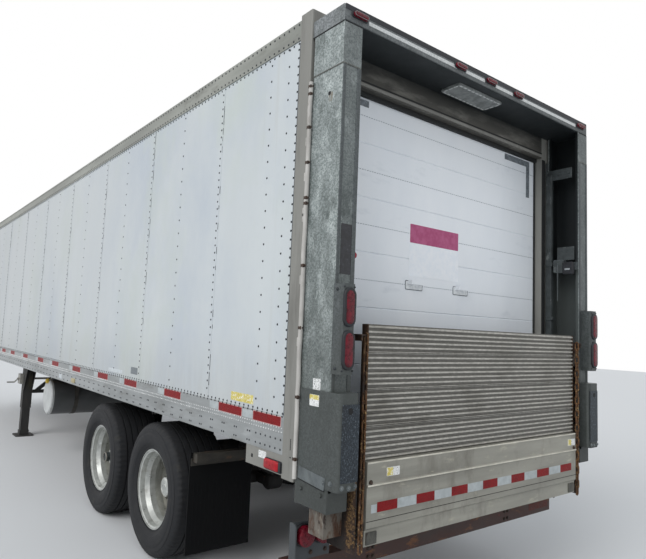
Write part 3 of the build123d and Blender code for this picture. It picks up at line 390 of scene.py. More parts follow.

# Broken dark runs along the laps' edges and one along the rear post: painted shadow of the edges, with bits
# of squeezed-out sealant
chance = np.random.default_rng(7)
run_count = 34
lap_shadow_sealant = weathered("darkened_lap_sealant", {0.4: "#23282b", 0.6: "#4a5156"}, 0.03, rough=(0.6, 0.8))
runs = [on(left, slab(0.0045, length, 0.0016, 0.002), np.column_stack([
    chance.choice(seams, run_count) - 0.021 + chance.normal(0, 0.0015, run_count),
    np.full(run_count, wall_face + 0.0004), chance.uniform(1.36, 3.40, run_count)]))
    for length in (0.018, 0.030, 0.048, 0.085)]
run_low = 1.30
edge_run = on(left, slab(0.006, wall_high - run_low, 0.0016, 0.002),
              (0.1135, wall_face, (wall_high + run_low) / 2))
pair("lap_sealant", joined(*runs, edge_run), lap_shadow_sealant, "white_sheet", smooth=False)


# Bottom and top rails. Mill-finish aluminium extrusions along the whole body, riveted to the wall
# sheets and to the crossmembers' end clips; grey road dirt lies in their steps.
rail_metal = weathered(
    "mill_finish_aluminium_rail", {0.35: "#909393", 0.65: "#aaadae"}, 0.12, (0.15, 1, 1),
    [("#74736e", 0.25, 4, 0.55, 0.85), ("#bcbfbf", 0.08, (0.3, 1, 1), 0.6, 0.8)],
    (0.38, 0.55), 0.0003, Metallic=0.45)
dress(rail_metal, "bottom_rail")
top_metal = weathered(
    "weathered_aluminium_rail", {0.35: "#858781", 0.65: "#a0a29b"}, 0.15, (0.15, 1, 1),
    [("#6f6f68", 0.2, 3, 0.55, 0.8)], (0.45, 0.6), 0.0003, Metallic=0.35)
dress(top_metal, "top_rail", "nose_cap_rail", "nose_sill")

rail_face = half_width - 0.003
bead_levels = (1.2345, 1.213)
bead_pitch = 0.0254
clip_levels = (1.172, 1.120)
clip_pitch = 0.1525
clip_spread = 0.012
wall_edge_level = 1.2975
rail_end = nose - 0.21
bead_metal = weathered("bright_rivet_head", {0.4: "#c0c2c2", 0.6: "#ecedec"}, 0.02, 1, (), (0.3, 0.45),
                       Metallic=0.5)
bead = revolved([(0.0048, 0), (0.0036, 0.002), (0, 0.0027)], 7)
bead_places = lattice(np.arange(rear_row, rail_end, bead_pitch), rail_face, bead_levels)
pair("rail_beads", on(left, bead, bead_places), bead_metal, "rail_aluminium")
clips = np.arange(0.46, rail_end, clip_pitch)
clip_places = np.concatenate([np.arange(0.13, 0.40, 0.05), clips - clip_spread, clips + clip_spread])
head = revolved([(0.0062, 0), (0.0048, 0.0022), (0, 0.003)], 8)
rail_rows = [lattice(clip_places, rail_face, clip_levels), lattice(edge_places, rail_face, [wall_edge_level])]
pair("rail_rivets", on(left, head, np.concatenate(rail_rows)), rivet_metal, "rail_aluminium")
top_places = lattice(edge_places, half_width, top_levels)
pair("top_rail_rivets", on(left, rivet, top_places), rivet_metal, "rail_aluminium")


# Reflective tape. Prismatic vinyl in red and silver-white, 2 in high, pressed onto the bottom rails,
# the platform and the rear frame; its cells show as a fine diamond pattern.
def prismatic(name, deep, light):
    """Cells 4 mm wide: a chequer of the place, turned an eighth round two axes, raises them as diamonds."""
    tape = weathered(name, {0.3: deep, 0.7: light}, 0.05, 1, [(deep, 0.03, 1, 0.60, 0.75)], (0.35, 0.5),
                     Coat_Weight=0.04, Coat_Roughness=0.2, Specular_IOR_Level=0.15)
    eighth_turn = math.radians(45)
    turned = add(tape.tree, "Mapping", {"Vector": tape.where, "Rotation": (eighth_turn, eighth_turn, 0)})
    cells = add(tape.tree, "TexChecker", {"Vector": turned, "Scale": 250.0})
    tape.feed("Normal", add(tape.tree, "Bump", {"Height": cells.outputs["Fac"], "Distance": 0.0003}))
    return tape


tape_red = prismatic("prismatic_tape_red", "#740e13", "#8c181b")
tape_white = prismatic("prismatic_tape_white", "#a4aaab", "#bfc5c6")
tape_edge = weathered("tape_backing_pink", {0.4: "#c79a98", 0.6: "#d8b4b0"}, 0.02, rough=(0.4, 0.5))
tape_thickness = 0.0009
tape_height = 0.0508
tape_level = 1.268
red_length = 0.282
red_half = red_length / 2
red_starts = np.array([0.136, 0.550, 1.400, 2.250, 2.970, 3.835, 4.695, 5.420, 6.300, 7.180, 7.875, 8.750,
                       9.620, 10.290])
for name, middle, finish, slot, *size in (
        ("backing", red_half, tape_edge, "white_sheet", red_length + 0.008, tape_height + 0.006, 0.0004),
        ("red", red_half, tape_red, "lamp_red", red_length, tape_height, tape_thickness),
        ("white", red_length + 0.064, tape_white, "white_sheet", 0.115, tape_height * 0.92, tape_thickness)):
    places = lattice(red_starts + middle, rail_face, [tape_level])
    pair("rail_tape_" + name, on(left, slab(*size), places), finish, slot, smooth=False)


# Rear frame. Two steel posts, a header and a sill welded into a ring and painted a tan grey that has
# chalked; a cream gasket strip with bolted cleats stands in the gap before each gate column.
frame_paint = weathered(
    "chalked_tan_grey_paint", {0.3: "#7d7c77", 0.7: "#92918b"}, 0.25, 0.15,
    [("#62605b", 0.4, (3, 3, 0.35), 0.56, 0.8), ("#7b4a32", 0.05, 0.5, 0.71, 0.78)], (0.5, 0.68), 0.0004)
dress(frame_paint, "rear_post", "rear_sill")
# The header's tan grey paint is given a darker, sooted tone, partly painted shade under the canopy.
header_paint = weathered(
    "sooted_header_paint", {0.3: "#42413d", 0.7: "#595751"}, 0.35, (1, 0.5, 2.0),
    [("#7d7b74", 0.30, (1, 0.6, 2.5), 0.50, 0.66), ("#343331", 0.12, (1, 0.3, 1), 0.58, 0.75)],
    (0.55, 0.7), 0.0004)
# Painted shadow: the rear face darkens towards its top, under the canopy.
along = add(header_paint.tree, "SeparateXYZ", {"Vector": header_paint.where}).outputs["X"]
under_canopy = add(header_paint.tree, "Math", {0: along, 1: rear_face + 0.002}, operation="LESS_THAN")
header_paint.film("Z", 3.30, 3.43, "#15181a", 0.92, under_canopy)
dress(header_paint, "rear_header")
black_seal_and_shade = weathered("black_rubber_seal", {0.4: "#0f1112", 0.6: "#1d2021"}, 0.03, rough=(0.6, 0.8))
seal_height = 2.05
piece("header_drip_ridge", on(rear, slab(2.18, 0.020, 0.006, 0.003, 0.002), (0, 0, 3.268)), frame_paint,
      "frame_paint")
# Black strips: rubber seals over the door and beside its edges, a dark line over the drip ridge, and painted
# shade over each post's recessed inner part.
drip_gap = on(rear, slab(2.18, 0.009, 0.0016, 0.002, 0.0005), (0, 0, 3.289))
door_seal = on(rear, slab(2.168, 0.036, 0.022, 0.004, 0.003), (0.062, 0, 3.240))
jamb_seal = on(rear, slab(0.015, seal_height, 0.010, 0.003, 0.002), (0.063, 1.0775, 2.265))
post_recess_shade = on(rear, slab(0.046, seal_height, 0.0022, 0.003, 0.001), (0, 1.1130, 2.215))
piece("door_frame_seals", joined(drip_gap, door_seal, both_sides(joined(jamb_seal, post_recess_shade))), black_seal_and_shade,
      "flap_rubber")


def carried(path, side, outline, ring=False):
    """An outline carried along a flat path: its first coordinate lies along the path plane's normal,
    its second across the path; an open path's ends are closed at their middles."""
    path = np.array(path, float)
    side = np.array(side, float)
    if ring:
        direction = np.roll(path, -1, 0) - np.roll(path, 1, 0)
    else:
        direction = np.gradient(path, axis=0)
    direction /= np.linalg.norm(direction, axis=1)[:, None]
    other = np.cross(side, direction)
    outline = np.array(outline, float)
    points = path[:, None] + outline[None, :, :1] * side + outline[None, :, 1:] * other[:, None]
    if ring:
        points = np.concatenate([points, points[:1]])
    else:
        ends = np.ones((1, len(outline), 1))
        points = np.concatenate([ends * path[0], points, ends * path[-1]])
    return points.reshape(-1, 3), grid_faces(len(points), len(outline), ring=True)


def circle(radius, steps):
    """An outline with even steps round a circle, the way round that makes faces point outwards."""
    angle = -around(steps)
    return np.stack([radius * np.cos(angle), radius * np.sin(angle)], -1)


gasket = weathered("greyed_gasket_tube", {0.35: "#a8a5a0", 0.65: "#c9c6c1"}, 0.06, 0.3,
                   [("#7d776f", 0.06, 0.4, 0.58, 0.7)], (0.5, 0.7), 0.0005)
cleat_steel = weathered("rusted_cleat", {0.4: "#241c18", 0.6: "#4a382c"}, 0.01, 1, (), (0.6, 0.8), 0.0005)
tube_middle = 1.2965
tube_levels = np.linspace(1.0, 3.15, 120)
sway = 0.0016 * np.sin(tube_levels * 9.1) + 0.0012 * np.sin(tube_levels * 23.7)
tube_path = np.stack([rear_face - 0.0155 + sway, tube_middle + 0.6 * np.abs(sway), tube_levels], -1)
pair("gasket_strip", carried(tube_path, (1, 0, 0), circle(0.0125, 14)), gasket, "frame_paint")
cleat_levels = np.array([1.10, 1.42, 1.785, 2.12, 2.462, 2.493, 2.69, 2.889, 3.081, 3.124])
cleat = joined(slab(0.024, 0.020, 0.0135, 0.004, 0.003), slab(0.040, 0.012, 0.004, 0.003, 0.002))
cleats = on(left, cleat, lattice([-0.0165], tube_middle, cleat_levels))
pair("gasket_cleats", cleats, cleat_steel, "rusty_steel")
clip = slab(0.018, 0.050, 0.004, 0.006, 0.002)
pair("gasket_clips", on(left, clip, lattice([0.004], 1.2955, cleat_levels[2:8] - 0.075)), gasket,
     "frame_paint")
post_slots = [on(left, slab(width, height, 0.0012, corner, 0.0004), (x, half_width, z))
              for width, height, corner, x, z in (
                  (0.012, 0.006, 0.002, 0.030, 1.098), (0.005, 0.060, 0.002, 0.032, 1.165),
                  (0.018, 0.020, 0.004, 0.404, 1.040))]
pair("post_slots", joined(*post_slots), black_seal_and_shade, "chassis_black")


# Roll-up door. Six white laminated panels hinged to each other, a fine seam pressed along the middle
# of each, with two painted handle plates; worn black tape marks both top corners.
door_paint = weathered(
    "white_laminate_panel", {0.3: "#e6ebf1", 0.7: "#f4f7fa"}, 0.6, 0.4,
    [("#ced4db", 0.5, 3, 0.6, 0.85)], (0.25, 0.38), Coat_Weight=0.15)
ripple = add(door_paint.tree, "TexNoise", {"Vector": door_paint.where, "Scale": 2.2, "Detail": 1.0})
door_paint.feed("Normal", add(door_paint.tree, "Bump", {"Height": ripple, "Strength": 0.4, "Distance": 0.02}))
dress(door_paint, "roll_up_door")
door_face = 0.064
door_half = 1.075
door_low, door_high = 1.250, 3.280
door_panels = 6
panel_height = (door_high - door_low) / door_panels
seam_shadow = weathered("panel_seam_shadow", {0.4: "#7e868e", 0.6: "#9aa2aa"}, 0.02, rough=(0.4, 0.6))
stitches = [(door_face, y, door_low + panel_height * (row + 0.5)) for row in range(door_panels)
            for y in np.arange(-door_half, door_half, 0.021)]
stitch = slab(0.014, 0.0035, 0.0012, 0.001, 0.0003)
piece("door_panel_seams", on(rear, stitch, stitches), seam_shadow, "white_sheet")

corner_mark = weathered("black_corner_tape", {0.4: "#596066", 0.6: "#747b81"}, 0.03,
                        dirt=[("#a6adb1", 0.015, 1, 0.6, 0.66)], rough=(0.5, 0.65))
marks = [on(rear, slab(width, height, 0.001, 0.002, 0.0003), (door_face, y, z)) for width, height, y, z in (
    (0.24, 0.042, 0.90, 3.190), (0.34, 0.045, -0.84, 3.190), (0.042, 0.25, 1.0, 3.044),
    (0.045, 0.25, -0.9875, 3.042))]
piece("door_corner_marks", joined(*marks), corner_mark, "chassis_black", smooth=False)

handle_steel = weathered("painted_handle_plate", {0.4: "#dfe3e6", 0.6: "#f4f6f7"}, 0.02,
                         dirt=[("#868c92", 0.03, 1, 0.62, 0.7)], rough=(0.35, 0.5))
handle_level = 2.095
handles = [(door_face, y, handle_level) for y in (0.330, -0.150)]
screws = [(door_face - 0.002, y + offset, handle_level) for _, y, _ in handles for offset in (0.068, -0.068)]
# Painted shadow: a dark frame round each handle plate.
piece("door_handle_rims", on(rear, slab(0.166, 0.062, 0.0014, 0.010, 0.0005), handles), corner_mark,
      "chassis_black", smooth=False)
plates = on(rear, slab(0.156, 0.052, 0.003, 0.008, 0.001), handles)
piece("door_handle_plates", joined(plates, on(rear, rivet, screws)), handle_steel, "white_sheet")


# Rail lift gate's columns, covers and canopy. Hot-dip galvanised folded sheet: zinc spangle a few
# millimetres wide under cloudy white oxide, black with grease and painted shade inside the columns.
def galvanised(name, tones, greasy_shaded_bore=False, below=None, low_film=0.62, bloom="#bfc6c5"):
    """Zinc: cells 8 mm wide tip the tone of a cloudy, streaked sheet. Road film darkens the lower part,
    and grease with painted shade the columns' bore. Painted shade darkens what looks back, most on the
    right side, and the shade given below is painted on what looks down."""
    zinc = weathered(
        name, tones, 0.18, 0.35,
        [("#6c7270", 0.3, (2, 2, 0.25), 0.55, 0.82), (bloom, 0.09, 0.6, 0.50, 0.66),
         ("#59625f", 0.16, 0.5, 0.56, 0.72), ("#6e6152", 0.12, 0.25, 0.70, 0.80)],
        (0.42, 0.62), 0.0003, Metallic=0.35)
    tree = zinc.tree
    spangle = add(tree, "TexVoronoi", {"Vector": zinc.where, "Scale": 130.0}, feature="F1")
    grey = add(tree, "ValToRGB", {"Fac": spangle.outputs["Color"]}, {0.2: "#aab1b0", 0.8: "#ffffff"})
    zinc.paint(add(tree, "Mix", {"Factor": 0.85, "A": zinc.colour, "B": grey}, data_type="RGBA",
                   blend_type="MULTIPLY"))
    facing = add(tree, "SeparateXYZ", {"Vector": add(tree, "NewGeometry").outputs["Normal"]}).outputs
    # Painted shade on the faces that look back
    backward_shade = zinc.film(facing["X"], -0.3, -0.9, "#4a4f50", 0.55)
    zinc.film("Z", 2.4, 1.45, "#474a46", low_film)
    zinc.film("Z", 1.04, 0.98, "#3a3c39", 0.45)
    # Painted shade: the right side's faces that look back are darker still
    zinc.film("Y", 0.3, -1.0, "#20262a", 0.45, backward_shade)
    # Painted shade on the faces that look down
    if below:
        zinc.film(facing["Z"], -0.3, -0.8, below)
    # Grease with painted shade darkens the inside of the columns, less towards the bottom
    if greasy_shaded_bore:
        place = add(tree, "SeparateXYZ", {"Vector": zinc.where}).outputs
        from_middle = add(tree, "Math", {0: place["X"], 1: rear_face - 0.145}, operation="SUBTRACT")
        within = []
        for distance, limit in ((place["Y"], 1.2775), (from_middle, 0.1195)):
            size = add(tree, "Math", {0: distance}, operation="ABSOLUTE")
            within.append(add(tree, "Math", {0: size, 1: limit}, operation="LESS_THAN"))
        inside = add(tree, "Math", {0: within[0], 1: within[1]}, operation="MULTIPLY")
        wiped = add(tree, "MapRange", {"Value": place["Z"], "From Min": 2.42, "From Max": 2.28})
        grease_and_shade = add(tree, "Mix", {"Factor": wiped, "A": linear("#14191b"), "B": linear("#4b504f")},
                     data_type="RGBA")
        zinc.paint(add(tree, "Mix", {"Factor": inside, "A": zinc.colour, "B": grease_and_shade}, data_type="RGBA"))
    return zinc


dress(galvanised("hot_dip_galvanised_column", {0.3: "#858d8c", 0.7: "#adb4b3"}, greasy_shaded_bore=True, low_film=0.5),
      "gate_column")
cover_zinc = galvanised("hot_dip_galvanised_cover", {0.3: "#565b5d", 0.7: "#6b7174"}, bloom="#6f7577")
dress(cover_zinc, "gate_covers")
# Painted shade on the canopy's underside
dress(galvanised("galvanised_canopy_sheet", {0.3: "#808486", 0.7: "#929597"}, below="#2a2f31",
                 bloom="#9a9ea0"), "gate_canopy")
cap_seam = weathered("darkened_seam_weld", {0.4: "#454744", 0.6: "#6f716c"}, 0.012, rough=(0.5, 0.7))
speckled = weathered("speckled_blue_zinc", {0.35: "#0f1317", 0.65: "#3a434c"}, 0.006,
                     dirt=[("#1f2226", 0.2, 0.3, 0.50, 0.75), ("#5f6a73", 0.007, 0.5, 0.56, 0.62)],
                     rough=(0.45, 0.65), Metallic=0.3)
black_hole = weathered("dark_opening", {0.4: "#0b0c0d", 0.6: "#16181a"}, 0.01, rough=(0.7, 0.9))
flange_zinc = weathered("bent_flange_zinc", {0.35: "#5c6264", 0.65: "#73797a"}, 0.05, 0.5,
                        [("#4a4e4d", 0.08, 0.5, 0.54, 0.72)], (0.45, 0.62), 0.0003, Metallic=0.3)
stain = weathered("rust_stain", {0.42: "#7d7669", 0.55: "#8e938f"}, 0.016, rough=(0.5, 0.7))
box_paint = weathered("sooted_control_box", {0.35: "#2b3031", 0.65: "#414748"}, 0.05,
                      dirt=[("#6d7270", 0.04, 0.5, 0.6, 0.7)], rough=(0.45, 0.65))
grommet_rubber = weathered("black_rubber_grommet", {0.4: "#121316", 0.6: "#22242a"}, 0.02, rough=(0.5, 0.7))
clouded_zinc = weathered("scratched_switch_plate", {0.4: "#8c9194", 0.6: "#b4b8ba"}, 0.008, rough=(0.4, 0.6))
fascia_shade = weathered("dark_fascia_band", {0.4: "#1f2126", 0.6: "#34363b"}, 0.1, (1, 0.2, 1), (),
                        (0.5, 0.65), Metallic=0.2)
strip_white = weathered("reflective_strip_white", {0.4: "#bfc1c0", 0.6: "#dcdedd"}, 0.01, 1,
                        [("#9a9d9d", 0.02, 1, 0.62, 0.7)], (0.25, 0.4))
knob_red = weathered("moulded_red_knob", {0.4: "#8f1f2c", 0.6: "#b23044"}, 0.01, rough=(0.3, 0.4))

column_rear = -0.270
column_outer = half_width - 0.0125
column_inner = column_outer - 0.127
column_width = column_outer - 0.0635
guard_rear = -0.350
guard_outer = half_width - 0.0045
box_rear = -0.340
box_outer = half_width - 0.0055
bent = [(-0.996, 0, -0.09), (-0.09, 0, 0.996), (0, 1, 0)]
bolt = joined(revolved([(0.013, 0), (0.013, 0.002), (0, 0.002)], 16),
              revolved([(0.0095, 0.001), (0.0095, 0.007), (0.008, 0.0085), (0, 0.0085)], 6))
side_screw = revolved([(0.009, 0), (0.009, 0.002), (0.006, 0.005), (0, 0.006)], 12)
face_screw = revolved([(0.006, 0), (0.004, 0.003), (0, 0.0035)], 10)
bore = pressed(0.030, 0.034, 0.015, [(0, 0), (0, 0.0035), (0.0004, 0.004)])
drain = revolved([(0.0115, 0), (0.0115, 0.0006), (0, 0.0006)], 24)
knob = revolved([(0.006, 0), (0.006, 0.006), (0.016, 0.008), (0.018, 0.014), (0.014, 0.021), (0, 0.023)], 20)
bracket_face = -(column_inner - 0.010)
conduit_face = -column_inner

# Each row of a pair or a piece: its name, finish and slot, then its parts: axes, shape and places
for make, name, finish, slot, *parts in (
        (pair, "column_rear_folds", cover_zinc, "galvanised",
         (rear, slab(0.020, 2.2, 0.004, 0.003, 0.0015), (column_rear, column_outer - 0.011, 2.08)),
         (rear, slab(0.026, 2.2, 0.004, 0.003, 0.0015), (column_rear, column_inner + 0.013, 2.08))),
        (pair, "column_cap_welds", cap_seam, "galvanised",
         (left, slab(0.252, 0.009, 0.0030, 0.003, 0.0020), (-0.145, column_outer, 3.182)),
         (rear, slab(0.127, 0.009, 0.0040, 0.003, 0.0020), (column_rear, column_width, 3.182))),
        (pair, "column_collars", cover_zinc, "galvanised",
         (left, slab(0.262, 0.122, 0.004, 0.004, 0.001), (-0.140, column_outer, 0.942)),
         (rear, slab(0.129, 0.122, 0.004, 0.004, 0.001), (column_rear, column_outer - 0.0625, 0.942)),
         (left, bolt, lattice([-0.065, -0.225], column_outer + 0.004, [0.962]))),
        (pair, "guard_rear_plates", speckled, "galvanised",
         (rear, slab(0.112, 0.375, 0.003, 0.006, 0.001), (guard_rear, guard_outer - 0.075, 1.230))),
        (pair, "guard_plate_holes", black_hole, "chassis_black",
         (rear, bore, (guard_rear, guard_outer - 0.071, 1.385))),
        (pair, "guard_foot_flanges", flange_zinc, "galvanised",
         (bent, slab(0.215, 0.062, 0.0035, 0.006, 0.001), (-0.150, guard_outer, 1.032)),
         (left, bolt, [(-0.245, guard_outer + 0.0005, 1.030), (-0.300, guard_outer, 1.035)])),
        (pair, "guard_rear_bolts", flange_zinc, "galvanised",
         (rear, bolt, [(guard_rear, guard_outer - inset, z)
                       for inset, z in ((0.030, 1.022), (0.075, 1.018), (0.115, 1.022))])),
        # Painted shadow: a dark strip under each bent foot flange
        (pair, "guard_flange_gap", black_hole, "chassis_black",
         (bent, slab(0.215, 0.007, 0.0028, 0.002, 0.001), (-0.147, guard_outer, 0.9985))),
        (pair, "canopy_foot_seams", black_hole, "chassis_black",
         (left, slab(0.268, 0.009, 0.0022, 0.002, 0.0004), (-0.136, column_outer, 3.4145)),
         (rear, slab(0.125, 0.006, 0.0022, 0.002, 0.0004), (column_rear, column_width, 3.4145))),
        (pair, "lamp_box_screws", rivet_metal, "galvanised",
         (left, side_screw, lattice([-0.300], box_outer, [1.590, 1.985])),
         (rear, face_screw, [(box_rear, box_outer - inset, z) for inset in (0.012, 0.080)
                             for z in (1.580, 1.998)])),
        (piece, "column_drain_hole", black_hole, "chassis_black",
         (left, drain, (-0.165, column_outer, 3.045))),
        (piece, "column_rust_stain", stain, "rusty_steel",
         (left, slab(0.034, 0.060, 0.0003, 0.016, 0.0001), (-0.176, column_outer, 3.026))),
        (piece, "column_red_knob", knob_red, "lamp_red",
         (right, knob, (column_rear + 0.020, column_inner, 2.175))),
        (piece, "column_cross_bracket", box_paint, "galvanised",
         (left, slab(0.205, 0.085, 0.006, 0.004, 0.002), (-0.118, -(column_inner - 0.004), 3.105)),
         (rear, slab(0.030, 0.150, 0.010, 0.004, 0.002), (-0.012, -(column_inner - 0.012), 3.140)),
         (left, bolt, lattice([-0.040, -0.120, -0.195], bracket_face, [3.105]))),
        (piece, "control_conduit", box_paint, "galvanised",
         (left, slab(0.050, 1.74, 0.028, 0.006, 0.002), (-0.036, conduit_face, 2.240)),
         (left, slab(0.052, 0.030, 0.034, 0.006, 0.002), lattice([-0.047], conduit_face, [1.55, 1.95, 2.38])),
         (left, slab(0.138, 0.105, 0.004, 0.004, 0.001), (-0.167, conduit_face, 2.462)),
         (left, slab(0.070, 0.088, 0.004, 0.006, 0.001), (-0.130, -1.111, 2.360))),
        (piece, "control_station", grommet_rubber, "chassis_black",
         (left, slab(0.078, 0.094, 0.034, 0.006, 0.003), (-0.206, -1.1380, 2.341))),
        (piece, "control_switch", clouded_zinc, "white_sheet",
         (left, slab(0.040, 0.014, 0.004, 0.002, 0.001), (-0.206, -1.1045, 2.332))),
        (piece, "control_pull_rod", cover_zinc, "galvanised",
         (left, slab(0.007, 0.30, 0.007, 0.003, 0.002), (-0.126, -1.1110, 2.235)))):
    make(name, joined(*(on(*part) for part in parts)), finish, slot)

# Painted shade: a dark band across the upper part of the canopy's fascia.
band = on(rear, slab(2.560, 0.030, 0.0015, 0.003, 0.0005), (column_rear, 0, 3.497))
piece("canopy_dark_band", band, fascia_shade, "galvanised", smooth=False)
strips = [on(rear, slab(width, 0.022, 0.0012, 0.001, 0.0004), (column_rear, y, 3.459))
          for width, y in ((0.76, 0.73), (0.76, -0.73), (0.20, 0.16), (0.20, -0.16))]
piece("canopy_white_strips", joined(*strips), strip_white, "white_sheet", smooth=False)


# Lamps. Red polycarbonate lenses moulded with fine flutes, each held in a black rubber grommet; the
# dome lamp under the canopy is frosted, in a pale frame.
lens_red = weathered(
    "polycarbonate_lens_red", {0.35: "#470414", 0.65: "#74091f"}, 0.02, rough=(0.22, 0.36),
    Coat_Weight=0.06, Coat_Roughness=0.1, Specular_IOR_Level=0.3)
tree = lens_red.tree
flutes = [add(tree, "TexWave", {"Vector": lens_red.where, "Scale": scale, "Distortion": 0.0},
              wave_type="BANDS", bands_direction=axis).outputs["Fac"]
          for axis, scale in (("Z", 55.0), ("Y", 40.0))]
both = add(tree, "Math", {0: flutes[0], 1: flutes[1]}, operation="ADD")
lens_red.feed("Normal", add(tree, "Bump", {"Height": both, "Strength": 0.6, "Distance": 0.0012}))
side_red = weathered("polycarbonate_side_lens", {0.35: "#8d0716", 0.65: "#b0121f"}, 0.02,
                     dirt=[("#d06a6a", 0.012, 1, 0.64, 0.70)], rough=(0.25, 0.4), Specular_IOR_Level=0.35)
amber = weathered("faded_amber_lens", {0.35: "#a3966c", 0.65: "#b8ad88"}, 0.015,
                  dirt=[("#7e7257", 0.03, 1, 0.58, 0.70)], rough=(0.35, 0.5))
frosted = weathered("frosted_dome_lens", {0.4: "#777b7a", 0.6: "#959998"}, 0.05, rough=(0.4, 0.55))
dress(frosted, "canopy_lamps")

bumper_rear = 0.032
bumper_half = half_width - 0.0255
oval_places = lattice([box_rear], box_outer - 0.046, (1.896, 1.683))
round_places = [(bumper_rear, bumper_half - inset, 0.685) for inset in (0.080, 0.200)]
side_place = 0.183
side_level = 1.028
fascia_places = [(column_rear, y, 3.470) for y in (1.178, 0.318, 0, -0.318, -1.178)]
nose_places = [(nose, y, 3.505) for y in (0.95, -0.95)]
amber_places = lattice([4.05, 10.42], rail_face, [1.138])
marker_base = slab(0.118, 0.038, 0.006, 0.012, 0.002)
marker_lens = pressed(0.102, 0.028, 0.014, [(0, 0), (0, 0.018), (0.003, 0.0225), (0.009, 0.0245)], 7)
dome_place, dome_level = -0.1245, 3.418
for make, name, finish, slot, part, stands_for in (
        (pair, "oval_lamp_grommets", grommet_rubber, "flap_rubber", (rear, pressed(0.082, 0.198, 0.041, [
            (0, 0), (0, 0.007), (0.004, 0.0115), (0.014, 0.0122), (0.016, 0.0108)], 9), oval_places), ()),
        (pair, "oval_lamp_lenses", lens_red, "lamp_red", (rear, pressed(0.052, 0.168, 0.026, [
            (0, 0.008), (0, 0.0122), (0.003, 0.0142), (0.012, 0.0156), (0.020, 0.0160)], 9), oval_places),
         ("tail_lamps",)),
        (pair, "round_lamp_grommets", grommet_rubber, "flap_rubber", (rear, revolved([
            (0.061, 0), (0.061, 0.008), (0.058, 0.012), (0.052, 0.012), (0, 0.012)], 40), round_places), ()),
        (pair, "round_lamp_lenses", lens_red, "lamp_red", (rear, revolved([
            (0.0525, 0), (0.0525, 0.0445), (0.049, 0.048), (0.030, 0.051), (0, 0.052)], 40), round_places),
         ("tail_lamps",)),
        (piece, "marker_lamp_bases", grommet_rubber, "flap_rubber", (rear, marker_base, fascia_places), ()),
        (piece, "marker_lamp_lenses", lens_red, "lamp_red", (rear, marker_lens, fascia_places), ()),
        (pair, "side_marker_bases", grommet_rubber, "flap_rubber",
         (left, slab(0.166, 0.064, 0.0035, 0.010, 0.001), (side_place, half_width, side_level)), ()),
        (pair, "side_marker_lenses", side_red, "lamp_red", (left, pressed(0.138, 0.054, 0.012, [
            (0, 0), (0, 0.009), (0.004, 0.014), (0.012, 0.0165)], 7),
            (side_place + 0.012, half_width, side_level)), ("tail_lamps",)),
        (pair, "side_marker_plugs", grommet_rubber, "flap_rubber",
         (left, slab(0.020, 0.054, 0.012, 0.006, 0.003), (side_place - 0.069, half_width, side_level)), ()),
        (piece, "front_marker_bases", grommet_rubber, "flap_rubber", (front, marker_base, nose_places), ()),
        (piece, "front_marker_lenses", amber, "rail_aluminium", (front, marker_lens, nose_places), ()),
        (pair, "rail_marker_lenses", amber, "rail_aluminium", (left, pressed(0.115, 0.048, 0.010, [
            (0, 0), (0, 0.006), (0.003, 0.010), (0.012, 0.012)]), amber_places), ()),
        (piece, "dome_lamp_cover", frosted, "white_sheet", (down, pressed(0.470, 0.156, 0.012, [
            (0, 0), (0, 0.0145), (0.002, 0.0165), (0.018, 0.0165), (0.022, 0.0150)]),
            (dome_place, 0, dome_level)), ())):
    make(name, on(*part), finish, slot, stands_for=stands_for)

dash_level = dome_level - 0.0163
side_dashes = [(dome_place + x, y, dash_level) for y in np.arange(-0.205, 0.2051, 0.041)
               for x in (0.068, -0.068)]
end_dashes = [(dome_place + x, y, dash_level) for x in (-0.041, 0, 0.041) for y in (0.225, -0.225)]
piece("dome_lamp_border", joined(on(down, slab(0.028, 0.011, 0.0012, 0.001, 0.0004), side_dashes),
                                 on(down, slab(0.011, 0.028, 0.0012, 0.001, 0.0004), end_dashes)),
      strip_white, "white_sheet")


# Platform. A deck of ribbed aluminium extrusions on a smooth lower panel, scuffed by pallet trucks;
# painted shade darkens the grooves between the ribs, and the joints between the planks show as dark lines.
deck_metal = weathered(
    "ribbed_aluminium_deck", {0.3: "#9b9992", 0.7: "#c9c6be"}, 0.014, (1, 0.5, 1),
    [("#7b776d", 0.35, (1, 0.5, 1), 0.52, 0.75)], (0.42, 0.6), 0.0004, Metallic=0.4)
# Painted shade in the grooves between the ribs
deck_metal.film("X", rear_face - 0.2775, rear_face - 0.2705, "#34322e", 0.72)
teeth = add(deck_metal.tree, "TexWave", {"Vector": deck_metal.where, "Scale": 46.0, "Distortion": 0.0},
            wave_type="BANDS", bands_direction="Z")
deck_metal.feed("Normal", add(deck_metal.tree, "Bump", {
    "Height": teeth.outputs["Fac"], "Strength": 0.7, "Distance": 0.0012}))
dress(deck_metal, "platform_deck")
panel_metal = weathered(
    "smooth_aluminium_panel", {0.3: "#87857c", 0.7: "#a5a399"}, 0.10, (1, 0.12, 1),
    [("#6f6b62", 0.25, 0.5, 0.52, 0.75), ("#b9b4a2", 0.06, (1, 0.3, 1), 0.6, 0.75),
     ("#6b5138", 0.05, 0.4, 0.70, 0.78)], (0.4, 0.58), 0.0005, Metallic=0.35)
dress(panel_metal, "platform_panel")
joint_dark = weathered("dark_plank_joint", {0.4: "#1e1d1b", 0.6: "#34322e"}, 0.02, rough=(0.7, 0.85))
edge_highlight = weathered("rubbed_bright_edge", {0.4: "#c2beb0", 0.6: "#dedacd"}, 0.02, (1, 0.2, 1),
                        rough=(0.3, 0.45), Metallic=0.4)
clip_steel = weathered("grimed_corner_clip", {0.35: "#3d3d39", 0.65: "#5d5c55"}, 0.03, 0.5,
                       [("#2a201a", 0.04, 0.5, 0.56, 0.68)], (0.5, 0.7), 0.0006, Metallic=0.2)

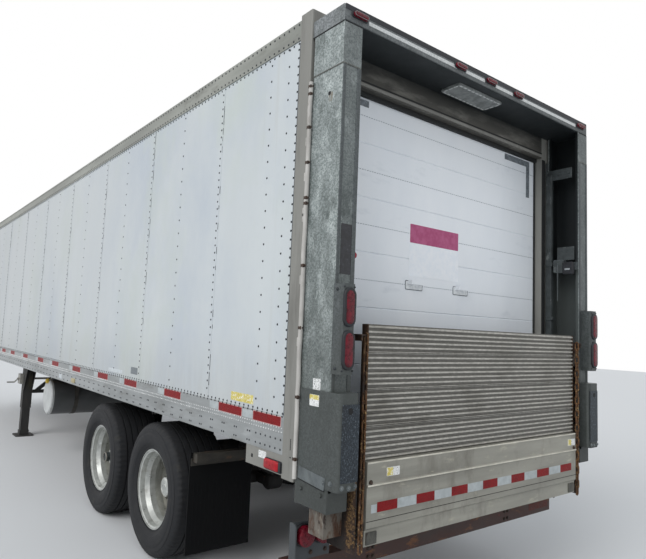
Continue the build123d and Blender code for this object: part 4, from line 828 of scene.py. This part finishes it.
platform_face = -0.300
crest_face = -0.278
deck_top = 1.820
rib_pitch = (deck_top - 1.112) / 26
plank_ribs = np.array([6, 13, 20])
plank_joint = slab(2.088, 0.0035, 0.0009, 0.001, 0.0003)
segment = 0.1501
tape_start = 0.968
platform_tape_level = 0.879
centres = tape_start - segment * (np.arange(13) + 0.5)
strip = slab(segment - 0.0006, tape_height, tape_thickness, 0.001, 0.0004)
for name, finish, slot, shape, places in (
        ("deck_plank_joints", joint_dark, "platform_aluminium", plank_joint,
         [(crest_face, 0, z) for z in deck_top - rib_pitch * (plank_ribs - 0.5)]),
        ("panel_seams", joint_dark, "platform_aluminium", plank_joint, (platform_face, 0, 0.815)),
        # Painted highlight: bright lines along the panel's ridges
        ("panel_rubbed_edges", edge_highlight, "platform_aluminium", slab(2.086, 0.008, 0.0012, 0.0015, 0.0006),
         [(platform_face - 0.006, 0, 0.9935), (platform_face, 0, 1.107)]),
        ("platform_tape_red", tape_red, "lamp_red", strip,
         [(platform_face, y, platform_tape_level) for y in centres[::2]]),
        ("platform_tape_white", tape_white, "white_sheet", strip,
         [(platform_face, y, platform_tape_level) for y in centres[1::2]]),
        ("platform_tape_end", tape_white, "white_sheet", slab(0.040, 0.042, tape_thickness, 0.001, 0.0004),
         (platform_face, tape_start + 0.023, platform_tape_level - 0.004))):
    piece(name, on(rear, shape, places), finish, slot, "gate_platform", smooth=False)
pair("panel_rusty_bolts", on(rear, bolt, (platform_face, 1.018, 1.009)), cleat_steel, "rusty_steel",
     "gate_platform")
corner_clip = slab(0.075, 0.062, 0.006, 0.004, 0.002)
pair("panel_corner_clips", on(rear, corner_clip, (platform_face + 0.012, 0.995, 0.728)), clip_steel,
     "rusty_steel", "gate_platform")


# Labels and notices. Thin vinyl and paper with no lettering: white, yellow, grey and black ones on
# the walls, the gate and the platform, and a white sheet with a pink head on the door.
vinyl_white = weathered("vinyl_sticker_white", {0.4: "#d9dad8", 0.6: "#efefed"}, 0.02,
                        dirt=[("#8b8d8c", 0.008, 1, 0.56, 0.6)], rough=(0.35, 0.5))
vinyl_yellow = weathered("vinyl_notice_yellow", {0.35: "#c9b54e", 0.65: "#dccf7c"}, 0.02,
                         dirt=[("#f2f0e4", 0.012, 1, 0.56, 0.6)], rough=(0.35, 0.5))
vinyl_grey = weathered("vinyl_notice_grey", {0.4: "#4d5458", 0.6: "#8b9296"}, 0.006, 4, rough=(0.4, 0.55))
vinyl_pale = weathered("vinyl_notice_pale", {0.35: "#bcc2c6", 0.65: "#d3d8db"}, 0.03,
                       dirt=[("#a4acb1", 0.015, 1, 0.58, 0.66)], rough=(0.4, 0.55))
vinyl_black = weathered("black_vinyl_label", {0.4: "#17181c", 0.6: "#2a2b31"}, 0.02,
                        dirt=[("#575a60", 0.02, 1, 0.64, 0.7)], rough=(0.35, 0.5))
sign_white = weathered("printed_sign_white", {0.4: "#f3f7fc", 0.6: "#fafcff"}, 0.05, rough=(0.6, 0.7),
                       Specular_IOR_Level=0.25)
sign_pink = weathered("printed_sign_pink", {0.4: "#b1557c", 0.6: "#bd668b"}, 0.04, rough=(0.6, 0.7),
                      Specular_IOR_Level=0.25)
sign_middle = 0.130
pair("rail_pale_plate", on(left, slab(0.110, 0.055, 0.0015, 0.004, 0.0005), (4.57, rail_face, 1.142)),
     vinyl_pale, "white_sheet")
for name, finish, size, axes, place in (
        ("wall_small_notice", vinyl_grey, (0.15, 0.058, 0.0008), left, (2.33, wall_face, 1.376)),
        ("wall_pale_notice", vinyl_pale, (0.36, 0.030, 0.0008), left, (2.79, wall_face, 1.345)),
        ("wall_label", vinyl_yellow, (0.26, 0.052, 0.0008), left, (0.56, wall_face, 1.352)),
        ("skirt_sticker", vinyl_white, (0.078, 0.040, 0.0008), left, (0.297, half_width, 1.0645)),
        ("column_sticker", vinyl_white, (0.062, 0.058, 0.0008), left, (-0.155, column_outer, 1.500)),
        ("guard_sticker", vinyl_white, (0.078, 0.058, 0.0008), left, (-0.150, guard_outer, 1.418)),
        ("guard_sticker_band", vinyl_yellow, (0.076, 0.024, 0.0011), left, (-0.150, guard_outer, 1.434)),
        ("column_black_label", vinyl_black, (0.074, 0.262, 0.001, 0.003, 0.0004), rear,
         (column_rear - 0.0002, 1.219, 2.198)),
        ("door_sign", sign_white, (0.507, 0.348, 0.001, 0.004, 0.0003), rear,
         (door_face, sign_middle, 2.331)),
        ("door_sign_header", sign_pink, (0.495, 0.124, 0.0016, 0.004, 0.0003), rear,
         (door_face, sign_middle, 2.438))):
    slot = "chassis_black" if finish is vinyl_black else "white_sheet"
    piece(name, on(axes, slab(*size), place), finish, slot, smooth=not name.startswith("door_sign"))
for side, y in (("left", 0.855), ("right", -0.985)):
    for name, finish, size, middle in (
            ("panel_sticker_", vinyl_white, (0.098, 0.046, 0.0008), y),
            ("panel_sticker_mark_", vinyl_yellow, (0.044, 0.042, 0.0011), y + 0.025)):
        piece(name + side, on(rear, slab(*size), (platform_face, middle, 1.050)), finish, "white_sheet",
              "gate_platform")


# Side angles, carriage and lift chains. Plain steel that has lost its paint: scaled orange-brown
# rust with dark pits, flaking along the edges; the sliding carriage keeps some of its tan primer.
rust = weathered(
    "scaled_rusty_steel", {0.30: "#2a1b13", 0.48: "#543821", 0.70: "#7c5733"}, 0.014, 0.5,
    [("#a88d5e", 0.008, 0.6, 0.57, 0.63), ("#19120d", 0.10, 0.3, 0.50, 0.68)], (0.7, 0.92), 0.004)
bar_rust = weathered(
    "dark_rusted_bar", {0.30: "#1c130e", 0.50: "#38261a", 0.72: "#5a4029"}, 0.03, 0.15,
    [("#806647", 0.016, 0.3, 0.63, 0.70), ("#130e0a", 0.10, 0.2, 0.50, 0.68)], (0.7, 0.9), 0.002)
dress(bar_rust, "platform_side_angles")
ochre = weathered("ochre_rust_flake", {0.30: "#2b1c12", 0.50: "#5d452c", 0.70: "#92784f"}, 0.008, 1,
                  [("#1e140d", 0.012, 1, 0.55, 0.63)], (0.8, 0.95), 0.002)
primer = weathered(
    "worn_tan_primer", {0.3: "#55504a", 0.7: "#777168"}, 0.06, 0.3,
    [("#4d3526", 0.05, 0.35, 0.46, 0.58), ("#8f897c", 0.03, 0.3, 0.60, 0.70),
     ("#2c1e16", 0.025, 0.5, 0.58, 0.66)], (0.55, 0.75), 0.001)
tree = primer.tree
place = add(tree, "SeparateXYZ", {"Vector": primer.where}).outputs
on_arm = add(tree, "Math", {0: add(tree, "Math", {0: place["Y"]}, operation="ABSOLUTE"), 1: 1.1205},
             operation="LESS_THAN")
scale = add(tree, "TexNoise", {"Vector": primer.where, "Scale": 70.0, "Detail": 5.0})
scaled = add(tree, "ValToRGB", {"Fac": scale}, {0.38: "#1a110d", 0.58: "#36241a", 0.72: "#5c452f"})
# Painted shadow: the arm forward of its hinge bar is darkened nearly to black.
gap_shadow = add(tree, "MapRange", {
    "Value": place["X"], "From Min": rear_face - 0.240, "From Max": rear_face - 0.215, "To Max": 0.85})
deep = add(tree, "Mix", {"Factor": gap_shadow, "A": scaled, "B": linear("#120c09")}, data_type="RGBA")
primer.paint(add(tree, "Mix", {"Factor": on_arm, "A": primer.colour, "B": deep}, data_type="RGBA"))
dress(primer, "lift_carriage")

arm_low, arm_high = 0.70, 1.03
flake_count = 46
edge_flake_count = 40
flakes = [on(left, revolved([(radius, 0), (radius * 0.7, rise), (0, rise * 0.8)], 6), np.column_stack([
    chance.uniform(-0.280, -0.241, flake_count), np.full(flake_count, 1.1225),
    chance.uniform(arm_low, arm_high, flake_count)]))
    for radius, rise in ((0.005, 0.0022), (0.0075, 0.003), (0.010, 0.0024))]
edge_flakes = on(rear, revolved([(0.007, 0), (0.005, 0.0035), (0, 0.003)], 6), np.column_stack([
    np.full(edge_flake_count, -0.283), chance.uniform(1.104, 1.119, edge_flake_count),
    chance.uniform(arm_low, arm_high, edge_flake_count)]))
pair("carriage_hinge_bars", on(left, slab(0.046, 0.35, 0.022, 0.004, 0.003), (-0.260, 1.1005, 0.865)),
     bar_rust, "rusty_steel", "gate_carriage")
pair("carriage_rust_flakes", joined(*flakes, edge_flakes), ochre, "rusty_steel", "gate_carriage")


def link(normal):
    """A chain link's wire carried round its long loop: two half circles joined by straight sides."""
    wire = 0.011
    half_wide = 0.017 - wire / 2
    half_straight = 0.025 + wire / 2 - half_wide
    angle = np.linspace(0, math.pi, 9)
    top = np.stack([half_wide * np.cos(angle), half_straight + half_wide * np.sin(angle)], -1)
    loop = np.concatenate([top, -top])
    across = np.cross((0, 0, 1), normal)
    points = loop[:, :1] * across + loop[:, 1:] * np.array((0, 0, 1.0))
    return carried(points, normal, circle(wire / 2, 8), ring=True)


chain_low, chain_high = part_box("lift_chain_left")
link_pitch = 0.0497
link_count = 22
link_levels = chain_high.z - 0.036 - link_pitch * np.arange(link_count)
for side, sign in (("left", 1), ("right", -1)):
    places = lattice([(chain_low.x + chain_high.x) / 2], sign * (chain_low.y + chain_high.y) / 2, link_levels)
    chain = joined(on(upright, link((0, 1, 0)), places[::2], 0),
                   on(upright, link((1, 0, 0)), places[1::2], 0))
    piece("chain_links_" + side, chain, rust, "rusty_steel", "gate_carriage",
          stands_for=("lift_chain_" + side,))


# Underride guard. Welded steel box section hung on two legs, painted maroon and worn through to
# rust, with upright grey lamp plates at its ends.
guard_paint = weathered(
    "maroon_paint_worn_to_rust", {0.3: "#2e201c", 0.7: "#4a302a"}, 0.10, (1, 0.3, 1),
    [("#6b4428", 0.07, (1, 0.35, 1), 0.56, 0.64), ("#2b1d19", 0.15, (1, 0.3, 1), 0.58, 0.75),
     ("#8f2a2c", 0.10, (1, 0.3, 1), 0.66, 0.70)], (0.5, 0.75), 0.0018)
guard_paint.film("Z", 0.552, 0.556, "#43474a")
dress(guard_paint, "underride_guard")
piece("bumper_tape_remnant", on(rear, slab(0.26, 0.050, 0.0008, 0.003, 0.0003), (bumper_rear, -1.11, 0.505)),
      prismatic("faded_tape_red", "#42211c", "#61291f"), "lamp_red", smooth=False)
bumper_bolts = [(bumper_rear, bumper_half - inset, 0.585) for inset in (0.030, 0.140, 0.240)]
bumper_bolts += [(bumper_rear, y, z) for y in (0.700, 0.660) for z in (0.475, 0.525)]
pair("bumper_bolts", on(rear, bolt, bumper_bolts), cleat_steel, "bumper_rust")


# Tyres. Wide single radials of black rubber: straight ribs between deep grooves round the tread,
# short slots in the shoulders, and moulded rings on the sidewalls that carry no marks.
tyre_rubber = weathered("weathered_tyre_rubber", {0.3: "#0e0f12", 0.7: "#1a1c20"}, 0.05,
                        dirt=[("#37352f", 0.12, 1, 0.60, 0.88)], rough=(0.68, 0.85))
tree = tyre_rubber.tree
grit = add(tree, "TexNoise", {"Vector": tyre_rubber.where, "Scale": 350.0, "Detail": 3.0})
tyre_rubber.feed("Normal", add(tree, "Bump", {"Height": grit, "Distance": 0.0004, "Strength": 0.5}))
dress(tyre_rubber, "tyre")

axle_level = 0.502
tyre_middle = half_width - 0.011 - 0.2225
tyre_columns = 216
shoulder_slots = 72
slot_depth = 0.006
groove_depth = 0.013
rib_radius = 0.5018
# Across the left tyre from its outer bead to its shoulder: place, radius
outer_side = np.array([
    (0.1955, 0.3120), (0.2060, 0.3230), (0.2125, 0.3420), (0.2155, 0.3440), (0.2165, 0.3500),
    (0.2190, 0.3540), (0.2215, 0.3780), (0.2222, 0.4000), (0.2215, 0.4200), (0.2198, 0.4225),
    (0.2198, 0.4262), (0.2205, 0.4290), (0.2160, 0.4500), (0.2120, 0.4520), (0.2075, 0.4640),
    (0.2010, 0.4790), (0.1955, 0.4870), (0.1860, 0.4945), (0.1770, 0.4985)])
bead = np.array([(0.1955, 0.2995)])
tread = [(-0.1700, 0.5005)]
floor_radius = axle_level - groove_depth
for start, end in ((-0.118, -0.106), (-0.063, -0.051), (-0.006, 0.006), (0.051, 0.063), (0.106, 0.118)):
    tread += [(start - 0.0008, rib_radius), (start + 0.0012, floor_radius), (end - 0.0012, floor_radius),
              (end + 0.0008, rib_radius)]
tread.append((0.1700, 0.5005))
section = np.concatenate([bead * (-1, 1), outer_side * (-1, 1), np.array(tread), outer_side[::-1], bead])
place, radius = section.T
turn = around(tyre_columns)
slotted = np.arange(tyre_columns) % (tyre_columns // shoulder_slots) == 0
at_shoulder = (np.abs(place) > 0.165) & (np.abs(place) < 0.206) & (radius > 0.4600)
ring = radius[:, None] - slot_depth * at_shoulder[:, None] * slotted[None]
tyre_points = np.stack([ring * np.sin(turn), place[:, None] + 0 * turn, ring * np.cos(turn)], -1)
tyre_points = tyre_points.reshape(-1, 3)
tyre_faces = grid_faces(len(section), tyre_columns, ring=True)[:, ::-1]


# Wheels and hubs. Forged aluminium discs polished bright outside and browned deep inside by brake dust
# and painted shade, with ten flanged nuts; cast iron hubs and drums, dusty, with a bright oil cap.
wheel_metal = weathered(
    "forged_aluminium_wheel", {0.3: "#a5a7a3", 0.7: "#cbcdc9"}, 0.06, 1,
    [("#7a7265", 0.09, 1, 0.58, 0.80), ("#dadcd9", 0.05, 1, 0.62, 0.72)], (0.25, 0.42), 0.0002, Metallic=0.45)
sideways = add(wheel_metal.tree, "SeparateXYZ", {"Vector": wheel_metal.where}).outputs["Y"]
off_middle = add(wheel_metal.tree, "Math", {0: sideways}, operation="ABSOLUTE")
# Brake dust and painted shade darken the disc deep inside
wheel_metal.film(off_middle, 1.115, 1.050, "#5f594a", 0.62)
dress(wheel_metal, "wheel")
hub_metal = weathered("dusty_cast_iron", {0.3: "#4a4845", 0.7: "#6c6963"}, 0.02,
                      dirt=[("#6a4a33", 0.05, 1, 0.58, 0.70)], rough=(0.5, 0.75), dents=0.0008, Metallic=0.3)
dress(hub_metal, "hub")
nut_steel = weathered("zinc_plated_nut", {0.4: "#7d7a73", 0.6: "#a6a39b"}, 0.01,
                      dirt=[("#6b4a35", 0.02, 1, 0.58, 0.68)], rough=(0.35, 0.55), Metallic=0.6)
nut = joined(revolved([(0, -0.001), (0.0235, -0.001), (0.0235, 0.004), (0.0215, 0.0055), (0, 0.0055)], 24),
             revolved([(0, 0.003), (0.0190, 0.003), (0.0190, 0.022), (0.0165, 0.0255), (0.012, 0.0260),
                       (0, 0.0260)], 6),
             revolved([(0, 0.024), (0.0105, 0.024), (0.0105, 0.036), (0.009, 0.038), (0, 0.038)], 12))
cap = revolved([
    (0.075, 0.0), (0.0765, 0.004), (0.0765, 0.012), (0.0745, 0.014), (0.0745, 0.070), (0.072, 0.078),
    (0.064, 0.0835), (0.050, 0.0855), (0.048, 0.0835), (0.030, 0.0835), (0.028, 0.0860), (0, 0.0860)], 40)
cap_screw = revolved([(0, 0), (0.006, 0), (0.006, 0.004), (0, 0.0045)], 6)
valve = carried([
    (0.252, 0, -0.010), (0.252, 0, 0.010), (0.249, 0, 0.030), (0.240, 0, 0.055), (0.236, 0, 0.062)],
    (0, 1, 0), circle(0.0042, 10))
disc_outset = 0.0508
disc_face = tyre_middle - disc_outset + 0.022
cap_start = tyre_middle - disc_outset + 0.060

for name in ("rear_left", "rear_right", "front_left", "front_right"):
    low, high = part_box("tyre_" + name)
    centre = np.array([(low.x + high.x) / 2, 0, axle_level])
    sign, axes = (1, left) if name.endswith("left") else (-1, right)
    body = "wheel_end_" + name
    tyre_place = centre + (0, sign * tyre_middle, 0)
    piece("tyre_tread_" + name, (tyre_points * (1, sign, 1) + tyre_place, tyre_faces[:, ::sign]), tyre_rubber,
          "tyre", body, stands_for=("tyre_" + name,))
    for part, shape, count, start, radius, out, finish in (
            ("wheel_nuts_", nut, 10, 0.5, 0.14288, disc_face, nut_steel),
            ("hub_cap_", cap, 1, 0, 0, cap_start, wheel_metal),
            ("hub_cap_screws_", cap_screw, 6, 0, 0.068, cap_start + 0.012, nut_steel),
            ("wheel_valve_", valve, 1, 0, 0, disc_face + 0.004, nut_steel)):
        turn = around(count, start)
        ring = np.column_stack([radius * np.cos(turn), np.full(count, sign * out), radius * np.sin(turn)])
        slot = "wheel_aluminium" if finish is wheel_metal else "hub_iron"
        piece(part + name, on(axes, shape, centre + ring, 0), finish, slot, body)
    if name == "front_left":
        # A distance counter in a dark case with a bright rim sits on this hub's cap
        counter = centre + (0, cap_start + 0.085, 0)
        case = revolved([(0, 0), (0.022, 0), (0.022, 0.008), (0.041, 0.012), (0.043, 0.016), (0.043, 0.052),
                         (0.036, 0.052), (0.035, 0.049), (0, 0.049)], 32)
        rim = revolved([(0.043, 0.046), (0.0450, 0.047), (0.0450, 0.055), (0.043, 0.057), (0.0365, 0.057),
                        (0.0365, 0.050)], 32)
        piece("hub_counter_case", on(left, case, counter, 0), box_paint, "hub_iron", body)
        piece("hub_counter_rim", on(left, rim, counter, 0), nut_steel, "hub_iron", body)


# Axles, springs and running frame. Black chassis paint dulled by road dust, rust coming through on
# the springs, the clamps and the brake chambers.
chassis_paint = weathered(
    "dusty_black_chassis_paint", {0.3: "#121212", 0.7: "#211f1e"}, 0.08, 1,
    [("#3d372f", 0.15, 0.6, 0.58, 0.78), ("#4b2f20", 0.06, 1, 0.65, 0.73)], (0.55, 0.8), 0.0008)
dress(chassis_paint, "axle", "leaf_springs", "suspension_frame", "spring_hangers", "brake_gear",
      "upper_coupler")
hanger_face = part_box("spring_hangers")[1].y
hanger_bolts = lattice([1.280, 1.360, 2.4625, 2.5425, 3.645, 3.725], hanger_face, [1.020])
pair("hanger_bolts", on(left, bolt, hanger_bolts), cleat_steel, "chassis_black")


# Mud flaps. Black rubber sheets hanging from bolted bars behind the rear axle, scuffed grey low
# down by road spray, with a clamping strip along the top.
flap_rubber = weathered(
    "ribbed_flap_rubber", {0.3: "#040506", 0.7: "#0b0c0e"}, 0.12, 0.3,
    [("#1d1c19", 0.2, 0.4, 0.62, 0.86)], (0.75, 0.9), 0.0006, Specular_IOR_Level=0.2)
dress(flap_rubber, "mud_flaps")
strip_steel = weathered("clamp_strip_steel", {0.3: "#23211e", 0.7: "#403c35"}, 0.05, (1, 0.4, 1),
                        [("#5f4330", 0.05, (1, 0.5, 1), 0.58, 0.7)], (0.5, 0.7), 0.0006)
dress(strip_steel, "flap_hanger", "tank_straps")
flap_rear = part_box("mud_flaps")[0].x - rear_face
flap_middle = half_width - 0.0055 - 0.250
clamp_level = 0.842
clamp_bolts = [(flap_rear - 0.004, flap_middle + offset, clamp_level)
               for offset in (-0.20, -0.10, 0, 0.10, 0.20)]
clamp = on(rear, slab(0.49, 0.050, 0.005, 0.003, 0.001), (flap_rear, flap_middle, clamp_level))
pair("flap_clamp_strips", joined(clamp, on(rear, bolt, clamp_bolts)), strip_steel, "chassis_black")
flap_ribs = [(flap_rear, flap_middle + offset, 0.50) for offset in np.arange(-0.21, 0.211, 0.03)]
pair("flap_ribs", on(rear, slab(0.006, 0.44, 0.0018, 0.002, 0.0008), flap_ribs), flap_rubber, "flap_rubber")


# Cross tank and its straps. A white painted drum slung under the crossmembers, its barrel painted near
# black as shade behind the white end, with stained seams and a yellow filler cap at its upper left end.
tank_paint = weathered(
    "white_tank_paint", {0.3: "#afb1b0", 0.7: "#cbcdcc"}, 0.15, 1,
    [("#7d7a72", 0.12, 0.5, 0.60, 0.74), ("#3b3a38", 0.04, 1, 0.68, 0.73)], (0.35, 0.55), 0.0006)
# Painted shade: the barrel beyond the end's rim is darkened nearly to black.
tank_paint.film("Y", 1.066, 1.060, "#1d2022", 0.9)
dress(tank_paint, "cross_tank")
cap_yellow = weathered("moulded_yellow_cap", {0.4: "#c7a52a", 0.6: "#dcbf45"}, 0.02,
                       dirt=[("#8c2f22", 0.03, 1, 0.60, 0.66)], rough=(0.4, 0.55))
tank_low, tank_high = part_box("cross_tank")
tank_middle = (tank_low.x + tank_high.x) / 2 - rear_face
filler = np.array([5.870, 1.030, tank_high.z])
filler_cap = revolved([(0.045, -0.022), (0.047, -0.020), (0.047, 0.004), (0.043, 0.008), (0, 0.009)], 32)
grip = revolved([(0.008, -0.018), (0.008, 0.001), (0, 0.002)], 8)
turn = around(8)
grips = filler + np.column_stack([0.046 * np.cos(turn), 0.046 * np.sin(turn), 0 * turn])
piece("filler_cap", joined(on(upright, filler_cap, filler), on(upright, grip, grips)), cap_yellow,
      "tank_paint")
valve_body = revolved([
    (0.034, 0), (0.034, 0.016), (0.028, 0.022), (0.028, 0.032), (0.020, 0.038), (0, 0.038)], 24)
lever = slab(0.016, 0.070, 0.010, 0.004, 0.003)
end_ring = revolved([(0.2305, -0.030), (0.2345, -0.024), (0.2345, -0.012), (0.2305, -0.006)], 72)
for name, shape, place, finish, slot in (
        ("tank_valve", valve_body, (5.872, 1.096, 0.968), cap_yellow, "tank_paint"),
        ("tank_valve_lever", lever, (5.925, 1.100, 0.962), knob_red, "lamp_red"),
        ("tank_end_seam", end_ring, (tank_middle, 1.100, 0.755), tank_paint, "tank_paint")):
    piece(name, on(left, shape, place), finish, slot)


# Landing gear. Square telescoping steel legs on flat shoes, cross-braced and joined by a shaft
# from the crank's gearbox; dull grey paint, rust at the welds.
landing_paint = weathered(
    "dull_grey_gear_paint", {0.3: "#1d1d1d", 0.7: "#343331"}, 0.08, 0.4,
    [("#55503f", 0.15, 0.3, 0.60, 0.78), ("#5a3826", 0.05, 0.6, 0.64, 0.71)], (0.5, 0.72), 0.0008)
dress(landing_paint, "landing_leg", "landing_brace")
crank_metal = weathered("pale_worn_steel", {0.3: "#8a8983", 0.7: "#b3b1aa"}, 0.03,
                        dirt=[("#6b4a33", 0.03, 1, 0.60, 0.70)], rough=(0.4, 0.6), Metallic=0.4)
dress(crank_metal, "landing_crank", "nose_connectors")


# Floor and crossmembers. Oiled hardwood planks, close jointed, laid on undercoated steel
# crossmembers that rust where grit strikes them.
half_plank = 0.034
wood = weathered(
    "oiled_hardwood_planks", {0.3: "#5c4129", 0.7: "#876544"}, 0.03, (0.05, 1, 1),
    [("#3a2a1c", 0.3, (0.3, 1, 1), 0.55, 0.8)], (0.45, 0.65), 0.0008)
sideways = add(wood.tree, "SeparateXYZ", {"Vector": wood.where}).outputs["Y"]
planks = add(wood.tree, "Math", {0: sideways, 1: half_plank}, operation="PINGPONG")
wood.film(planks, 0.0012, 0.0, "#1d1510")
dress(wood, "floor_deck")
member_paint = weathered(
    "undercoated_crossmember", {0.3: "#2a2826", 0.7: "#43403b"}, 0.1, (1, 0.4, 1),
    [("#5c4634", 0.15, (1, 0.5, 1), 0.56, 0.74)], (0.6, 0.8), 0.0008)
dress(member_paint, "crossmembers")
